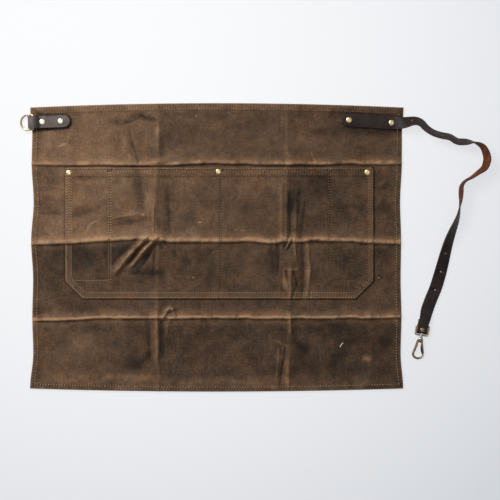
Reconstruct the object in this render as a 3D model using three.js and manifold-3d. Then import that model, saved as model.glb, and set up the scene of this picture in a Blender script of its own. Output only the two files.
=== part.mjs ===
// Waist apron of waxed canvas: a hemmed panel with a sewn-on pocket patch, a D-ring on a leather
// tab at one upper corner, and a leather waist strap with a swivel clip at the other.
// Millimetres. X runs along the waist edge, Y up towards it, Z up off the table.
// The origin is the middle of the panel's underside.
import * as THREE from 'three';
import { mergeVertices } from 'three/addons/utils/BufferGeometryUtils.js';
import Module from 'manifold-3d';

const wasm = await Module();
wasm.setup();

// ---- driving dimensions ----
const GAP = 0.3;                    // clearance between pieces that touch
const TABLE = -1;                   // what the apron, with its rivets' back caps, lies on
const CLOTH = 0.9;                  // waxed canvas
const HEMS = { left: 9, right: 9, low: 9, high: 11 };      // widths of the double-folded hems
const HEM_STEP = 0.8;               // run-out of a hem's edge
const LEATHER = 2.6;                // tab and strap
const STRAP_WIDTH = 20;

const PANEL_LEFT = -299;
const PANEL_RIGHT = 300;
const PANEL_TOP = 225.5;            // at the corners
const PANEL_BOTTOM = -224;
const TOP_BOW = 7;                  // how far the waist edge bows out in the middle
const BOTTOM_BOW = 5;

// creases of the folded apron: crest position, half width and height
const ROW_CREASES = [
  { at: -110, half: 10, rise: 5 },
  { at: 12, half: 9, rise: 6 },
  { at: 136.5, half: 6, rise: 5 },
];
const COLUMN_CREASES = [
  { at: -94, half: 8, rise: 3 },
  { at: 116, half: 8, rise: 3 },
];
// height along each side, and how far the side is pulled in there
const SIDE_PULL = {
  left: [[-224, 0], [-167, 5], [-110, 3.5], [-49, 4.8], [12, 1.7], [74, 5.6], [136.5, 2.5], [181, 3.5],
    [225.5, 0.3]],
  right: [[-224, 1.4], [-167, 5.4], [-110, 4.1], [-49, 5.4], [12, 4.6], [74, 6.2], [136.5, 3.5], [181, 3.3],
    [225.5, 0.8]],
};

const POCKET_LEFT = -242.7;
const POCKET_RIGHT = 250;
const POCKET_TOP = 129.2;
const POCKET_BOTTOM = -80;
const POCKET_CHAMFER = 28;
const POCKET_CORNER = 4;            // radius of the upper corners
const POCKET_HEM = 12;

const RIVET_CAP = 4.7;              // radius
const RIVET_HOLE = 2.2;
const DRILL_LOW = -3;               // reach of the drill for a rivet's hole
const DRILL_HIGH = 12;
const BACK_DISC = 0.8;              // thickness of the cap under the cloth

const TAB_TILT = 2.5;               // degrees
const TAB_PIVOT = new THREE.Vector3(-293.6, 201.6, 7.3);   // middle of the D-ring's bar
const RING_WIRE = 1.4;              // radius
const RING_HALF = 11.8;             // half height, to the middle of the wire
const RING_ARM = 9.4;               // straight arm before the half circle
const RING_CORNER = 2.2;
const RING_DROOP = 18.9;            // degrees, tip resting on the table

const CLIP_TILT = 9;                // degrees in plan
const CLIP_ORIGIN = new THREE.Vector3(327, -138.7, 3);     // middle of the eye's lower bar
const HOOK_DROOP = 3.46;            // degrees, hook tip resting on the table
const EYE_WIRE = 1.3;
const EYE_HALF_WIDTH = 10.3;        // to the middle of the wire
const EYE_TOP = 16;                 // upper bar, from the lower bar
const EYE_CORNER = 2;
const EYE_MIDDLE = 5;               // middle bar, which the strap goes round
const MIDDLE_BAR = 1;               // radius
const STRAP_END_WIDTH = 17.2;
const STRAP_END_LEATHER = 1.6;      // thinned where it folds
const FOLD_RADIUS = 2.3;            // middle of the leather round the bar
const FOLD_STEPS = 10;
const TAIL_DROP = 22;               // where the tail has come down, from the lower bar
const TAIL_LENGTH = 25;             // tail's end, from the lower bar
const POST_NOTCH = 2.7;             // hole in the fold for the head of the clip's post
const STUD_AT = 8.75;               // from the lower bar
const STUD_HEAD = 3.5;
const STUD_BARREL = 1.5;
const STUD_BORE = 1;
const STUD_SCREW = 0.7;
const SCREW_HEAD = 3.2;
const SCREW_HEAD_HEIGHT = 0.6;
const STRAP_HOLE = 1.8;

// The strap's route, by hand: x, y, height of what lies below it, roll about its length in degrees.
// At roll 0 the hair side faces up; below -90 the flesh side shows.
const STRAP_ROUTE = [
  [201.6, 206.1, 1.2, 0], [211.2, 205.4, 1.2, 0], [246, 203.1, 1.2, 0], [262, 202, 1.5, 0],
  [279, 200.9, 2.4, 0], [285, 200.7, 3, 0], [291, 200.6, 3.3, -10], [299, 200.9, 3.3, -27],
  [309.8, 203.2, 1, -44], [318.1, 203.7, -0.5, -50], [325.8, 200.8, -1, -54], [335, 191.7, -1, -58],
  [345.8, 184.8, -1, -60], [360.3, 180.2, -1, -60], [371.7, 177.9, -1, -60], [384, 171, -1, -60],
  [399.4, 170.2, -1, -64], [411.5, 169.3, -1, -88], [424.6, 162.4, -1, -108], [431.5, 145.8, -1, -119],
  [431, 138.1, -1, -119], [427.2, 128.8, -1, -114], [417.6, 121.3, -1, -105], [406.9, 113.6, -1, -98],
  [396.2, 107.5, -1, -95], [390.9, 100, -1, -99], [389.8, 90.4, -1, -103], [389.4, 78.4, -1, -96],
  [388, 68, -1, -87], [386, 55.4, -1, -77], [382.4, 43.2, -1, -67], [377.6, 31.2, -1, -57],
  [371.7, 15.5, -1, -45], [366.2, -3, -1, -34], [360.2, -26.9, -1, -19], [355.6, -44.2, -1, -8],
  [349.6, -63.7, -1, 0], [343.6, -78.2, -1, 0], [337.9, -93, -1, 0], [335.7, -100, -0.5, 0],
  [333.7, -108.4, 1.4, 0], [332, -115, 3.3, 0],
];
const THIN_POINTS = 3;              // last points of the route, where the leather is thin
const ROUNDED_END = [0, 0.5, 1.6, 3.4, 6, 9.5];   // steps round the end of a strip
const STRAP_STEPS = 84;
// punched holes, as x, y on the route
const STRAP_HOLES = [[309.8, 203.9], [360.3, 180.6], [365.2, -7], [357.6, -37], [348.8, -66.1]];

// rivets: name, x, y and the height of the top layer they clamp
const RIVETS = [
  ['rivet_pocket_left', -236.6, 121, 3.9], ['rivet_pocket_middle', 2.1, 123, 3.9],
  ['rivet_pocket_right', 240.6, 121.8, 3.9], ['rivet_tab_outer', -279, 202.2, 6.7],
  ['rivet_tab_inner', -250.1, 203.5, 3.8], ['rivet_strap_inner', 211.2, 205.4, 3.8],
  ['rivet_strap_outer', 279, 200.9, 5.6],
];

// ---- materials ----
const finish = (color, roughness, metalness) =>
  new THREE.MeshStandardMaterial({ color, roughness, metalness });
const canvas = () => finish(0x735b45, 0.75, 0);
const leather = () => finish(0x2b211d, 0.55, 0);
const brass = () => finish(0xb58a45, 0.35, 1);
const agedBrass = () => finish(0x7d6638, 0.4, 1);
const steel = () => finish(0x9a9a98, 0.35, 1);

// ---- geometry helpers ----
const rad = THREE.MathUtils.degToRad;
const axisOf = (tilt) => new THREE.Vector3(-Math.sin(rad(tilt)), Math.cos(rad(tilt)), 0);

function solid(geometry) {
  const bare = geometry.clone();
  bare.deleteAttribute('normal');
  bare.deleteAttribute('uv');
  const merged = mergeVertices(bare, 1e-4);
  return new wasm.Manifold(new wasm.Mesh({
    numProp: 3,
    vertProperties: new Float32Array(merged.attributes.position.array),
    triVerts: new Uint32Array(merged.index.array),
  }));
}

function geometryOf(shape) {
  const mesh = shape.getMesh();
  const geometry = new THREE.BufferGeometry();
  geometry.setAttribute('position', new THREE.BufferAttribute(mesh.vertProperties, 3));
  geometry.setIndex(new THREE.BufferAttribute(mesh.triVerts, 1));
  geometry.computeVertexNormals();
  return geometry;
}

function joined(geometries) {
  return geometries.map(solid).reduce((whole, piece) => whole.add(piece));
}

function drilled(shape, tools) {
  return tools.map(solid).reduce((whole, tool) => whole.subtract(tool), shape);
}

// closed mesh from rings of equal length; the last ring meets the first one when looped
function loft(rings, looped = false) {
  const sides = rings[0].length;
  const index = [];
  const spans = looped ? rings.length : rings.length - 1;
  for (let i = 0; i < spans; i++) {
    const here = i * sides;
    const next = ((i + 1) % rings.length) * sides;
    for (let j = 0; j < sides; j++) {
      const k = (j + 1) % sides;
      index.push(here + j, here + k, next + k, here + j, next + k, next + j);
    }
  }
  if (!looped) {
    const last = (rings.length - 1) * sides;
    for (let j = 1; j < sides - 1; j++) {
      index.push(0, j + 1, j, last, last + j, last + j + 1);
    }
  }
  const geometry = new THREE.BufferGeometry();
  const flat = rings.flat().flatMap((p) => [p.x, p.y, p.z]);
  geometry.setAttribute('position', new THREE.Float32BufferAttribute(flat, 3));
  geometry.setIndex(index);
  geometry.computeVertexNormals();
  return geometry;
}

// round wire along points in the XY plane
function wire(points, radius, sides, looped = false) {
  const rings = points.map((point, i) => {
    const count = points.length;
    const before = looped ? points[(i + count - 1) % count] : points[Math.max(i - 1, 0)];
    const after = looped ? points[(i + 1) % count] : points[Math.min(i + 1, count - 1)];
    const side = new THREE.Vector2().subVectors(after, before).normalize();
    return Array.from({ length: sides }, (_, j) => {
      const turn = (2 * Math.PI * j) / sides;
      const out = radius * Math.cos(turn);
      return new THREE.Vector3(point.x - side.y * out, point.y + side.x * out, radius * Math.sin(turn));
    });
  });
  return loft(rings, looped);
}

// flat strip: each station has a centre, a width direction and a length direction
function strip(stations) {
  const rings = stations.map(({ centre, across, along, width, thick }) => {
    const out = new THREE.Vector3().crossVectors(along, across).normalize();
    const corner = (a, o) => centre.clone()
      .addScaledVector(across, (a * width) / 2).addScaledVector(out, (o * thick) / 2);
    return [corner(-1, -1), corner(1, -1), corner(1, 1), corner(-1, 1)];
  });
  return loft(rings);
}

// cylinder between two points
function rod(from, to, radius, sides = 12) {
  const along = new THREE.Vector3().subVectors(to, from);
  const geometry = new THREE.CylinderGeometry(radius, radius, along.length(), sides);
  const turn = new THREE.Quaternion()
    .setFromUnitVectors(new THREE.Vector3(0, 1, 0), along.clone().normalize());
  geometry.applyQuaternion(turn);
  const middle = new THREE.Vector3().addVectors(from, to).multiplyScalar(0.5);
  return geometry.translate(middle.x, middle.y, middle.z);
}

const post = (x, y, low, high, radius, sides) =>
  rod(new THREE.Vector3(x, y, low), new THREE.Vector3(x, y, high), radius, sides);

// holes for the rivets whose names start that way
const holesFor = (prefix) => RIVETS.filter(([name]) => name.startsWith(prefix))
  .map(([, x, y]) => post(x, y, DRILL_LOW, DRILL_HIGH, RIVET_HOLE, 16));

const block = (low, high) => new THREE.BoxGeometry(high[0] - low[0], high[1] - low[1], high[2] - low[2])
  .translate((low[0] + high[0]) / 2, (low[1] + high[1]) / 2, (low[2] + high[2]) / 2);

// ---- cloth ----
const crease = (value, { at, half, rise }) => rise * Math.max(0, 1 - Math.abs(value - at) / half);
const creaseHeight = (x, y) => Math.max(
  ...ROW_CREASES.map((row) => crease(y, row)), ...COLUMN_CREASES.map((column) => crease(x, column)));
const sidePull = (side, y) => {
  const points = SIDE_PULL[side];
  const after = Math.max(1, points.findIndex(([at]) => at >= y));
  const [low, high] = [points[after - 1], points[after]];
  const share = (y - low[0]) / (high[0] - low[0]);
  return THREE.MathUtils.lerp(low[1], high[1], (1 - Math.cos(Math.PI * share)) / 2);
};
const endBow = (x) => 1 - (x / PANEL_LEFT) ** 2;

// slab over a grid of points; top and bottom give the heights at a point
function slab(columns, rows, place, bottom, top) {
  const positions = [];
  const across = columns.length;
  const layer = across * rows.length;
  const put = (height) => rows.forEach((row, j) => columns.forEach((column, i) => {
    const [x, y] = place(i, j);
    positions.push(x, y, height(x, y, i, j));
  }));
  put(bottom);
  put(top);
  const index = [];
  const quad = (a, b, c, d) => index.push(a, b, c, a, c, d);
  for (let j = 0; j < rows.length - 1; j++) {
    for (let i = 0; i < across - 1; i++) {
      const a = j * across + i;
      quad(a, a + across, a + across + 1, a + 1);
      quad(a + layer, a + layer + 1, a + layer + across + 1, a + layer + across);
    }
  }
  for (let i = 0; i < across - 1; i++) {
    const far = (rows.length - 1) * across + i;
    quad(i, i + 1, i + 1 + layer, i + layer);
    quad(far + 1, far, far + layer, far + 1 + layer);
  }
  for (let j = 0; j < rows.length - 1; j++) {
    const left = j * across;
    const right = left + across - 1;
    quad(left + across, left, left + layer, left + across + layer);
    quad(right, right + across, right + across + layer, right + layer);
  }
  const geometry = new THREE.BufferGeometry();
  geometry.setAttribute('position', new THREE.Float32BufferAttribute(positions, 3));
  geometry.setIndex(index);
  return geometry;
}

const creaseLines = (creases) => creases.flatMap(({ at, half }) => [at - half, at, at + half]);

function apronPanel() {
  const inner = [...creaseLines(COLUMN_CREASES), -200, 0, 60, 200].sort((a, b) => a - b);
  const between = [-167, -49, 74, 181];
  const innerRows = [...creaseLines(ROW_CREASES), ...between].sort((a, b) => a - b);
  const edge = (side) => [0, HEMS[side], HEMS[side] + HEM_STEP].map((inset) => [side, inset]);
  const columns = [...edge('left'), ...inner.map((x) => ['at', x]), ...edge('right').toReversed()];
  const rows = [...edge('low'), ...innerRows.map((y) => ['at', y]), ...edge('high').toReversed()];
  const place = (i, j) => {
    const [side, dx] = columns[i];
    const [end, dy] = rows[j];
    const flatY = { low: PANEL_BOTTOM + dy, high: PANEL_TOP - dy, at: dy }[end];
    const left = PANEL_LEFT + sidePull('left', flatY);
    const right = PANEL_RIGHT - sidePull('right', flatY);
    const x = { left: left + dx, right: right - dx, at: dx }[side];
    const y = { low: flatY - BOTTOM_BOW * endBow(x), high: flatY + TOP_BOW * endBow(x), at: flatY }[end];
    return [x, y];
  };
  const inHem = ([kind, inset]) => kind !== 'at' && inset <= HEMS[kind];
  const bottom = (x, y) => creaseHeight(x, y);
  const top = (x, y, i, j) =>
    creaseHeight(x, y) + (inHem(columns[i]) || inHem(rows[j]) ? 3 * CLOTH : CLOTH);
  return slab(columns, rows, place, bottom, top);
}

function pocketPanel() {
  const crossing = ROW_CREASES.filter(({ at }) => at > POCKET_BOTTOM && at < POCKET_TOP);
  const hemEdge = POCKET_TOP - POCKET_HEM;
  const rows = [POCKET_BOTTOM, POCKET_BOTTOM + POCKET_CHAMFER, ...creaseLines(crossing),
    hemEdge - HEM_STEP, hemEdge, POCKET_TOP - POCKET_CORNER, POCKET_TOP];
  const inset = (j) => {
    if (j === 0) return POCKET_CHAMFER;
    return j === rows.length - 1 ? POCKET_CORNER : 0;
  };
  const columns = ['left', ...creaseLines(COLUMN_CREASES), 'right'];
  const place = (i, j) => {
    const x = { left: POCKET_LEFT + inset(j), right: POCKET_RIGHT - inset(j) }[columns[i]];
    return [x ?? columns[i], rows[j]];
  };
  const bottom = (x, y) => CLOTH + GAP + creaseHeight(x, y);
  const top = (x, y, i, j) =>
    bottom(x, y) + (rows[j] >= hemEdge ? 3 * CLOTH : CLOTH);
  return slab(columns, rows, place, bottom, top);
}

// ---- D-ring and its tab ----
const TAB_TAIL = 19.4;              // end of the ply underneath, past the bar
const TAB_END = 58.4;               // end of the ply on top, past the bar
const TAB_FOLD = -4.1;              // centre of the fold, left of the bar
const TAB_FOLD_STEPS = 8;
const tabAlong = new THREE.Vector3(Math.cos(rad(TAB_TILT)), Math.sin(rad(TAB_TILT)), 0);
const tabAcross = axisOf(TAB_TILT);

function roundedWidth(full, fromEnd) {
  const half = full / 2;
  if (fromEnd >= half) return full;
  return 2 * Math.sqrt(Math.max(half * half - (half - fromEnd) ** 2, 1));
}

// The strip's middle as distance past the bar and height: the tail on the cloth, up onto the hem,
// round the bar, and back over the tail to the cloth.
function tabRoute() {
  const onCloth = CLOTH + GAP + LEATHER / 2;
  const onHem = 3 * CLOTH + GAP + LEATHER / 2;
  const onTail = onCloth + LEATHER + GAP;
  const overBar = TAB_PIVOT.z + RING_WIRE + GAP + LEATHER / 2;
  const foldRadius = (overBar - onHem) / 2;
  const route = [[12, onCloth], [9.4, onCloth + 0.3], [5.6, onHem], [TAB_FOLD, onHem]];
  for (let step = 1; step < TAB_FOLD_STEPS; step++) {
    const angle = -Math.PI / 2 - (Math.PI * step) / TAB_FOLD_STEPS;
    route.push([TAB_FOLD + foldRadius * Math.cos(angle),
      (overBar + onHem) / 2 + foldRadius * Math.sin(angle)]);
  }
  route.push([TAB_FOLD, overBar], [2.6, overBar], [5.4, overBar - 1.2], [8.6, onTail + 0.4],
    [11, onTail], [20.6, onTail], [24.2, onTail - 1.1], [27.6, onCloth + 0.4], [31, onCloth]);
  return [
    ...ROUNDED_END.map((e) => [TAB_TAIL - e, onCloth]).filter(([s]) => s > route[0][0]), ...route,
    ...ROUNDED_END.toReversed().map((e) => [TAB_END - e, onCloth]),
  ];
}

function tab() {
  const route = tabRoute();
  const points = route.map(([s, z]) =>
    new THREE.Vector3(TAB_PIVOT.x, TAB_PIVOT.y, z).addScaledVector(tabAlong, s));
  const fold = route.findIndex(([s]) => s === TAB_FOLD);
  const stations = points.map((centre, i) => {
    const along = points[Math.min(i + 1, points.length - 1)].clone()
      .sub(points[Math.max(i - 1, 0)]).normalize();
    const fromEnd = (i < fold ? TAB_TAIL : TAB_END) - route[i][0];
    return { centre, across: tabAcross, along, width: roundedWidth(STRAP_WIDTH, fromEnd), thick: LEATHER };
  });
  return geometryOf(drilled(solid(strip(stations)), holesFor('rivet_tab')));
}

function dRing() {
  const corner = RING_CORNER;
  const points = [];
  const arc = (cx, cy, radius, from, to, steps) => {
    for (let k = 0; k <= steps; k++) {
      const angle = rad(from + ((to - from) * k) / steps);
      points.push(new THREE.Vector2(cx + radius * Math.cos(angle), cy + radius * Math.sin(angle)));
    }
  };
  arc(-corner, RING_HALF - corner, corner, 0, 90, 3);
  arc(-RING_ARM, 0, RING_HALF, 90, 270, 16);
  arc(-corner, corner - RING_HALF, corner, 270, 360, 3);
  return wire(points, RING_WIRE, 10, true);
}

// ---- strap ----
const clipAcross = new THREE.Vector3(Math.cos(rad(CLIP_TILT)), -Math.sin(rad(CLIP_TILT)), 0);
const clipBack = new THREE.Vector3(Math.sin(rad(CLIP_TILT)), Math.cos(rad(CLIP_TILT)), 0);
const clipPoint = (across, back, height) => new THREE.Vector3(CLIP_ORIGIN.x, CLIP_ORIGIN.y, height)
  .addScaledVector(clipAcross, across).addScaledVector(clipBack, back);

// centre height of the strap over what it lies on
const strapHeight = (below, roll, thick) => below
  + (STRAP_WIDTH / 2) * Math.abs(Math.sin(rad(roll))) + (thick / 2) * Math.abs(Math.cos(rad(roll)));

function strapStations() {
  const front = CLIP_ORIGIN.z + FOLD_RADIUS;
  const lockedFrom = EYE_TOP + 2;
  const route = STRAP_ROUTE.map(([x, y, below, roll], i) => {
    const thick = i < STRAP_ROUTE.length - THIN_POINTS ? LEATHER : STRAP_END_LEATHER;
    return { at: new THREE.Vector3(x, y, strapHeight(below, roll, thick)), roll };
  });
  route.push({ at: clipPoint(0, lockedFrom, front), roll: 0 });
  const curve = new THREE.CatmullRomCurve3(route.map((r) => r.at), false, 'centripetal');
  const total = curve.getLength();
  const up = new THREE.Vector3(0, 0, 1);
  const stations = [];
  const even = Array.from({ length: STRAP_STEPS }, (_, i) =>
    THREE.MathUtils.lerp(ROUNDED_END.at(-1), total, (i + 1) / STRAP_STEPS));
  for (const distance of [...ROUNDED_END, ...even]) {
    const u = Math.min(distance / total, 1);
    const place = curve.getUtoTmapping(u) * (route.length - 1);
    const first = Math.min(Math.floor(place), route.length - 2);
    const roll = rad(THREE.MathUtils.lerp(route[first].roll, route[first + 1].roll, place - first));
    const along = curve.getTangentAt(u);
    const left = new THREE.Vector3().crossVectors(up, along).normalize();
    const across = left.multiplyScalar(Math.cos(roll)).addScaledVector(up, Math.sin(roll));
    across.addScaledVector(along, -across.dot(along)).normalize();
    const toGo = total * (1 - u);
    const taper = THREE.MathUtils.smoothstep(toGo, 2, 26);
    stations.push({
      centre: curve.getPointAt(u), across, along,
      width: Math.min(roundedWidth(STRAP_WIDTH, total * u),
        THREE.MathUtils.lerp(STRAP_END_WIDTH, STRAP_WIDTH, taper)),
      thick: THREE.MathUtils.lerp(STRAP_END_LEATHER, LEATHER, taper),
    });
  }
  const end = { across: clipAcross, width: STRAP_END_WIDTH, thick: STRAP_END_LEATHER };
  const ahead = clipBack.clone().negate();
  stations.push({ ...end, centre: clipPoint(0, STUD_AT, front), along: ahead });
  for (let step = 0; step <= FOLD_STEPS; step++) {
    const angle = Math.PI / 2 + (Math.PI * step) / FOLD_STEPS;
    const centre = clipPoint(0, EYE_MIDDLE + FOLD_RADIUS * Math.cos(angle),
      CLIP_ORIGIN.z + FOLD_RADIUS * Math.sin(angle));
    const along = ahead.clone().multiplyScalar(Math.sin(angle))
      .addScaledVector(up, Math.cos(angle));
    stations.push({ ...end, centre, along });
  }
  const tail = CLIP_ORIGIN.z - FOLD_RADIUS;
  const onTable = TABLE + GAP + STRAP_END_LEATHER / 2;
  const tailRoute = [[STUD_AT + STUD_HEAD, tail], [lockedFrom, tail], [TAIL_DROP, onTable],
    [TAIL_LENGTH, onTable]];
  for (const [back, height] of tailRoute) {
    stations.push({ ...end, centre: clipPoint(0, back, height), along: clipBack });
  }
  return stations;
}

function strap() {
  const stations = strapStations();
  const tools = [];
  for (const [x, y] of STRAP_HOLES) {
    const distance = (s) => Math.hypot(s.centre.x - x, s.centre.y - y);
    const near = stations.reduce((best, s) => (distance(s) < distance(best) ? s : best));
    const out = new THREE.Vector3().crossVectors(near.along, near.across).normalize().multiplyScalar(4);
    tools.push(rod(near.centre.clone().sub(out), near.centre.clone().add(out), STRAP_HOLE, 12));
  }
  const studHole = [TABLE - 1, DRILL_HIGH].map((height) => clipPoint(0, STUD_AT, height));
  tools.push(rod(...studHole, STUD_BARREL + GAP, 16));
  const notch = [-1, EYE_MIDDLE - MIDDLE_BAR - GAP].map((back) => clipPoint(0, back, CLIP_ORIGIN.z));
  tools.push(rod(...notch, POST_NOTCH, 16));
  const shape = drilled(solid(strip(stations)), tools);
  return geometryOf(drilled(shape, holesFor('rivet_strap')));
}

// ---- rivets and stud ----
const lathe = (profile) => geometryOf(solid(new THREE.LatheGeometry(
  profile.map(([r, z]) => new THREE.Vector2(r, z)), 12).rotateX(Math.PI / 2)));

// domed cap with a solid post that reaches down into the back cap's tube
const rivetCap = (reach) => lathe([[0, -reach], [0.9, -reach], [0.9, 0], [RIVET_CAP, 0], [RIVET_CAP, 0.5],
  [4, 1.2], [2.9, 1.8], [1.4, 2.1], [0, 2.2]]);

// disc under the cloth with a tube that takes the post
const rivetBack = (reach) => lathe([[0, -BACK_DISC], [3.8, -BACK_DISC], [RIVET_CAP, -BACK_DISC / 2],
  [RIVET_CAP, 0], [1.9, 0], [1.9, reach], [1.2, reach], [1.2, -0.2], [0, -0.2]]);

// head with a socket under it, and the screw that goes up into the socket from the table's side
function studPost(top) {
  const socket = top - TABLE - 2 * SCREW_HEAD_HEIGHT - GAP;
  return lathe([[0, -0.6], [STUD_BORE, -0.6], [STUD_BORE, -socket], [STUD_BARREL, -socket],
    [STUD_BARREL, 0], [STUD_HEAD, 0], [STUD_HEAD, 0.5], [2.6, 1.2], [1.2, 1.5], [0, 1.5]]);
}

function studScrew(top) {
  const reach = top - TABLE - 1;
  return lathe([[0, 0], [SCREW_HEAD, 0], [SCREW_HEAD, SCREW_HEAD_HEIGHT],
    [STUD_SCREW, SCREW_HEAD_HEIGHT], [STUD_SCREW, reach], [0, reach]]);
}

// ---- swivel clip, in its own frame: X across, Y back towards the strap, Z up ----
function roundedBox(halfWidth, low, high, corner) {
  const points = [];
  const arc = (cx, cy, from) => {
    for (let k = 0; k <= 3; k++) {
      const angle = rad(from + 30 * k);
      points.push(new THREE.Vector2(cx + corner * Math.cos(angle), cy + corner * Math.sin(angle)));
    }
  };
  arc(halfWidth - corner, high - corner, 0);
  arc(corner - halfWidth, high - corner, 90);
  arc(corner - halfWidth, low + corner, 180);
  arc(halfWidth - corner, low + corner, 270);
  return points;
}

const v3 = (x, y, z) => new THREE.Vector3(x, y, z);
const BOSS = 2.5;
const POST = 0.95;
const POST_BORE = 1.35;
const GATE_PIVOT = v3(2.2, -9.6, 0);
const GATE_TIP = v3(6.9, -28.6, 0);
const GATE_WIRE = 1.7;
const GATE_EYE = 1.7;
const HOOK_WIRE = 1.75;
const PIN = 0.6;
const PIN_HOLE = 0.9;
const LUG = 0.9;                     // half thickness of the gate's lug
const SLOT = 1.2;                    // half width of the slot that takes it
const HEAD = 2.4;                    // half thickness of the hook's head
const HEAD_OUTLINE = [[-2.4, -4.2], [-4.9, -7], [-6.1, -11.4], [-1.2, -11.4], [1, -11.4], [4.2, -11.4],
  [3.9, -7], [2.4, -4.2]];
const HOOK_ROUTE = [[-2.6, -6], [-4.2, -10], [-5.2, -15], [-6.1, -19.7], [-7.6, -26], [-8.7, -30.5],
  [-7.3, -34.8], [-3.8, -37], [0.2, -37.4], [4.1, -35.8], [6.5, -32.8], [6.9, -30.8]];

function swivelEye() {
  const frame = wire(roundedBox(EYE_HALF_WIDTH, 0, EYE_TOP, EYE_CORNER), EYE_WIRE, 10, true);
  const bar = rod(v3(-EYE_HALF_WIDTH, EYE_MIDDLE, 0), v3(EYE_HALF_WIDTH, EYE_MIDDLE, 0), MIDDLE_BAR, 10);
  const boss = rod(v3(0, -1.6, 0), v3(0, 1.3, 0), BOSS, 16);
  const bore = rod(v3(0, -3, 0), v3(0, 3, 0), POST_BORE, 16);
  return geometryOf(drilled(joined([frame, bar, boss]), [bore]));
}

const pinHole = () => post(GATE_PIVOT.x, GATE_PIVOT.y, -4, 4, PIN_HOLE, 12);

// casting with a slotted head, a curved arm and a post that turns in the eye's boss
function hookBody() {
  const curve = new THREE.SplineCurve(HOOK_ROUTE.map(([x, y]) => new THREE.Vector2(x, y)));
  const arm = wire(curve.getPoints(36), HOOK_WIRE, 10);
  const collar = rod(v3(0, -1.95, 0), v3(0, -5, 0), BOSS, 16);
  const outline = new THREE.Shape(HEAD_OUTLINE.map(([x, y]) => new THREE.Vector2(x, y)));
  const head = new THREE.ExtrudeGeometry(outline, { depth: 2 * HEAD, bevelEnabled: false })
    .translate(0, 0, -HEAD);
  const stem = rod(v3(0, -3, 0), v3(0, 2, 0), POST, 12);
  const postHead = rod(v3(0, 1.6, 0), v3(0, 2.4, 0), 2.1, 16);
  const slot = block([-1.2, -13, -SLOT], [8, -6.6, SLOT]);
  return geometryOf(drilled(joined([head, arm, collar, stem, postHead]), [slot, pinHole()]));
}

function hookGate() {
  const along = GATE_TIP.clone().sub(GATE_PIVOT).normalize();
  const at = (distance) => GATE_PIVOT.clone().addScaledVector(along, distance);
  const length = GATE_PIVOT.distanceTo(GATE_TIP);
  const eye = post(GATE_PIVOT.x, GATE_PIVOT.y, -LUG, LUG, GATE_EYE, 16);
  const lug = block([-1.3, -5, -LUG], [1.3, 0, LUG]);
  lug.rotateZ(Math.atan2(along.x, -along.y)).translate(GATE_PIVOT.x, GATE_PIVOT.y, 0);
  const bar = rod(at(3.6), at(length), GATE_WIRE, 12);
  return geometryOf(drilled(joined([bar, lug, eye]), [pinHole()]));
}

// ---- assembly ----
const apron = new THREE.Group();

function piece(name, geometry, material, parent = apron) {
  const mesh = new THREE.Mesh(geometry, material);
  mesh.name = name;
  parent.add(mesh);
  return mesh;
}

piece('apron_panel', geometryOf(drilled(solid(apronPanel()), holesFor('rivet'))), canvas());
piece('pocket_panel', geometryOf(drilled(solid(pocketPanel()), holesFor('rivet_pocket'))), canvas());
piece('d_ring_tab', tab(), leather());
const ring = piece('d_ring', dRing(), brass());
ring.position.copy(TAB_PIVOT);
ring.rotation.set(0, -rad(RING_DROOP), rad(TAB_TILT), 'ZYX');
piece('waist_strap', strap(), leather());

for (const [name, x, y, top] of RIVETS) {
  const seat = top + GAP;
  piece(`${name}_cap`, rivetCap(seat), brass()).position.set(x, y, seat);
  piece(`${name}_back`, rivetBack(seat - 0.5), brass()).position.set(x, y, BACK_DISC + TABLE);
}

const frontTop = CLIP_ORIGIN.z + FOLD_RADIUS + STRAP_END_LEATHER / 2 + GAP;
const studAt = clipPoint(0, STUD_AT, 0);
piece('strap_stud_post', studPost(frontTop), brass()).position.set(studAt.x, studAt.y, frontTop);
piece('strap_stud_screw', studScrew(frontTop), brass()).position.set(studAt.x, studAt.y, TABLE);

const clip = new THREE.Group();
clip.position.copy(CLIP_ORIGIN);
clip.rotation.z = -rad(CLIP_TILT);
apron.add(clip);
piece('swivel_eye', swivelEye(), agedBrass(), clip);
const hook = new THREE.Group();
hook.rotation.x = rad(HOOK_DROOP);
clip.add(hook);
piece('hook_body', hookBody(), agedBrass(), hook);
piece('hook_gate', hookGate(), agedBrass(), hook);
piece('gate_pin', post(GATE_PIVOT.x, GATE_PIVOT.y, -HEAD + 0.1, HEAD - 0.1, PIN, 12), steel(), hook);
piece('gate_spring', block([-0.85, -10.4, -0.8], [-0.45, -7.2, 0.8]), steel(), hook);

apron.updateMatrixWorld(true);
export default apron;
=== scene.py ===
import math

import bpy
import numpy as np
from mathutils import Matrix, Vector


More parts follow.
